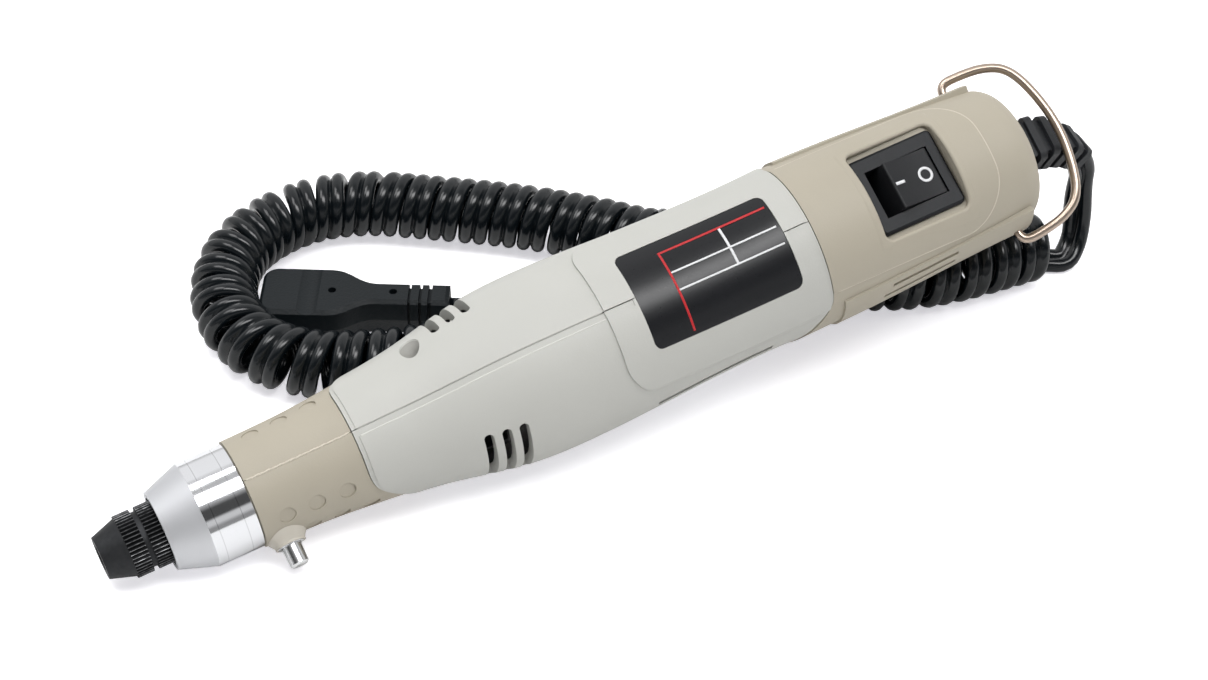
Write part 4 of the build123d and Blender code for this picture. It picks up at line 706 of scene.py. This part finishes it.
def lock_coil():
    """Lock spring as round wire on a helix about the pin: x = r cos a, z = r sin a, y even with a."""
    reach = tool_vertices("lock_spring")[:, 1]
    seat, top = reach.max(), reach.min()
    a = np.linspace(0, SPRING_TURNS * ROUND, SPRING_COUNT)
    out = np.stack([np.cos(a), 0 * a, np.sin(a)], -1)
    rise = np.linspace(seat - SPRING_WIRE_R, top + SPRING_WIRE_R, SPRING_COUNT)
    line = SPRING_R * out + np.stack([0 * a + LOCK_X, rise, 0 * a], -1)
    made = carried("lock_spring_wire", line, out, circle(SPRING_WIRE_R, SPRING_SIDES), "housing",
                   "spring_steel")
    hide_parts("lock_spring")
    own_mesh(made)


lock_coil()

# Bail: where its sockets lie along the tool, the rise of its plane, half of its route there, across the
# tool and away from the sockets, and the wire's radius in the sockets and on the arms
BAIL_X = 155.75
BAIL_RISE = math.radians(15)
BAIL_ROUTE = [(12.6, 0.0), (12.9, 0.0), (17.5, 0.0), (17.4, 4.6), (16.7, 9.3), (14.5, 13.2), (9.2, 15.4)]
BAIL_TOP = (0.0, 16.8)
BAIL_STEP, BAIL_SIDES = 0.3, 24
BAIL_R = (0.85, 0.91)
BAIL_GROWS_OVER = 1.5


def bent_bail():
    """Wire bail: a circle carried along a smooth route from socket to socket, a little thicker outside."""
    half = np.array(BAIL_ROUTE)
    flat = np.r_[half, [BAIL_TOP], half[::-1] * (-1, 1)]
    line, _ = respaced(route(np.c_[flat, np.zeros(len(flat))]), BAIL_STEP)
    y, u = line[:, 0], line[:, 1]
    c, s = math.cos(BAIL_RISE), math.sin(BAIL_RISE)
    points = np.stack([BAIL_X + u * c, y, u * s], -1)
    level = np.tile((-s, 0.0, c), (len(points), 1))
    size = BAIL_R[0] + (BAIL_R[1] - BAIL_R[0]) * np.clip(u / BAIL_GROWS_OVER, 0, 1)
    made = carried("bail_wire", points, level, circle(1.0, BAIL_SIDES), "bail", "bright_wire",
                   widths=size, heights=size)
    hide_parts("bail")


bent_bail()

# Camera, fitted to the photograph: focal length and width of the frame in pixels, width of the sensor
# in mm, nearest distance in metres, and its place and axes in the table frame
FOCAL_PIXELS, FRAME_PIXELS, SENSOR, NEAREST = 2800, 1208, 36.0, 0.01
CAMERA_AT = (-93.89, -346.43, 368.6)
CAMERA_RIGHT = Vector((0.89196, -0.45212, 0.0))
CAMERA_UP = Vector((0.3025, 0.5969, 0.7431))


def set_camera():
    """The photograph's camera, with right, up and back as the columns of its turn."""
    lens = bpy.data.cameras.new("camera")
    lens.sensor_width = SENSOR
    lens.lens = FOCAL_PIXELS / FRAME_PIXELS * SENSOR
    lens.clip_start = NEAREST
    camera = bpy.data.objects.new("camera", lens)
    axes = Matrix((CAMERA_RIGHT, CAMERA_UP, CAMERA_RIGHT.cross(CAMERA_UP).normalized())).transposed()
    camera.matrix_world = Matrix.Translation(table_point(CAMERA_AT)) @ axes.to_4x4()
    scene.collection.objects.link(camera)
    scene.camera = camera


set_camera()

# Floor: half its width in metres, and the strength and linear tint of its lift towards white
FLOOR_HALF, FLOOR_LIFT, FLOOR_TINT = 4.0, 0.58, (0.96, 0.95, 1.0, 1.0)


def lay_floor():
    """A square of matt white paper that glows a little for the camera, so that only contact shadows show."""
    material, tree, shader = new_material("floor_paper", "#ececec", Roughness=0.9,
                                          Specular_IOR_Level=0.0, Emission_Color=FLOOR_TINT)
    seen = add(tree, "ShaderNodeLightPath").outputs["Is Camera Ray"]
    lift = add(tree, "ShaderNodeMath", {0: seen, 1: FLOOR_LIFT}, operation="MULTIPLY")
    tree.links.new(lift.outputs[0], shader.inputs["Emission Strength"])
    mesh = bpy.data.meshes.new("floor")
    corners = FLOOR_HALF * np.array([(-1, -1, 0), (1, -1, 0), (1, 1, 0), (-1, 1, 0)])
    mesh.from_pydata(corners, [], [(0, 1, 2, 3)])
    mesh.materials.append(material)
    floor = bpy.data.objects.new("floor", mesh)
    scene.collection.objects.link(floor)


lay_floor()

# Studio: pale walls with a dark gap in front, which streaks the metal. Levels are by degrees from the
# horizon in front, over the top, to the horizon behind, and front is the level way to the camera
STUDIO = [(0, 0.28), (10, 0.28), (18, 0.62), (27, 0.62), (32, 0.07), (51, 0.07), (60, 0.40), (90, 0.50),
          (108, 0.50), (120, 0.92), (166, 0.90), (180, 0.5)]
STUDIO_LEVEL = 1.06
FRONT, RIGHT = (-0.452, -0.892, 0.0), (0.892, -0.452, 0.0)
# Soft box high in front: its level, and the middle, half width and soft edge of its place to the right
# and of its height as a share of the half circle
SOFT_BOX = 9.0
SOFT_BOX_SIDE, SOFT_BOX_HEIGHT = (0.25, 0.26, 0.14), (0.41, 0.028, 0.035)
WHITE = (1.0, 1.0, 1.0, 1.0)


def light_studio():
    """Light from all round: a ramp of levels over the angle atan2(up, front), plus a soft box, which is the
    product of a soft step in each direction. The camera itself sees white."""
    world = bpy.data.worlds.new("studio")
    world.use_nodes = True
    scene.world = world
    tree = world.node_tree
    way = add(tree, "ShaderNodeTexCoord").outputs["Generated"]
    towards, side = (add(tree, "ShaderNodeVectorMath", {0: way, 1: axis}, operation="DOT_PRODUCT")
                     for axis in (FRONT, RIGHT))
    height = add(tree, "ShaderNodeSeparateXYZ", {"Vector": way}).outputs["Z"]
    angle = add(tree, "ShaderNodeMath", {0: height, 1: towards.outputs["Value"]}, operation="ARCTAN2")
    share = add(tree, "ShaderNodeMath", {0: angle.outputs[0], 1: 1 / math.pi}, operation="MULTIPLY")
    ramp = add(tree, "ShaderNodeValToRGB", {"Fac": share.outputs[0]})
    stops = ramp.color_ramp.elements
    stops[0].position, stops[1].position = STUDIO[0][0] / 180, STUDIO[-1][0] / 180
    for degrees, _ in STUDIO[1:-1]:
        stops.new(degrees / 180)
    for stop, (_, level) in zip(stops, STUDIO):
        stop.color = (level, level, level, 1)
    inside = []
    for source, (middle, half, soft) in ((side.outputs["Value"], SOFT_BOX_SIDE),
                                         (share.outputs[0], SOFT_BOX_HEIGHT)):
        off = add(tree, "ShaderNodeMath", {0: source, 1: middle}, operation="SUBTRACT")
        away = add(tree, "ShaderNodeMath", {0: off.outputs[0]}, operation="ABSOLUTE")
        edge = add(tree, "ShaderNodeMapRange", {"Value": away.outputs[0], "From Min": half,
                                                "From Max": half + soft, "To Min": 1.0, "To Max": 0.0})
        inside.append(edge.outputs["Result"])
    box = add(tree, "ShaderNodeMath", {0: inside[0], 1: inside[1]}, operation="MULTIPLY")
    lit = add(tree, "ShaderNodeMath", {0: box.outputs[0], 1: SOFT_BOX}, operation="MULTIPLY")
    room = add(tree, "ShaderNodeMix", {"Factor": 1.0, "A": ramp.outputs["Color"], "B": lit.outputs[0]},
               data_type="RGBA", blend_type="ADD")
    seen = add(tree, "ShaderNodeLightPath").outputs["Is Camera Ray"]
    shown = add(tree, "ShaderNodeMix", {"Factor": seen, "A": room.outputs["Result"], "B": WHITE},
                data_type="RGBA")
    sky = tree.nodes["Background"]
    tree.links.new(shown.outputs["Result"], sky.inputs["Color"])
    sky.inputs["Strength"].default_value = STUDIO_LEVEL


light_studio()

# Key light: its place and the side of its square in metres, and its power in watts
KEY_AT, KEY_SIZE, KEY_POWER = (-0.35, 0.25, 1.0), 0.5, 4.0


def hang_key():
    """One soft lamp above and behind, whose -Z axis is aimed at the origin."""
    light = bpy.data.lights.new("key", "AREA")
    light.size = KEY_SIZE
    light.energy = KEY_POWER
    key = bpy.data.objects.new("key", light)
    key.location = KEY_AT
    key.rotation_euler = (-Vector(KEY_AT)).to_track_quat("-Z", "Y").to_euler()
    scene.collection.objects.link(key)


hang_key()
scene.view_settings.view_transform = "Standard"
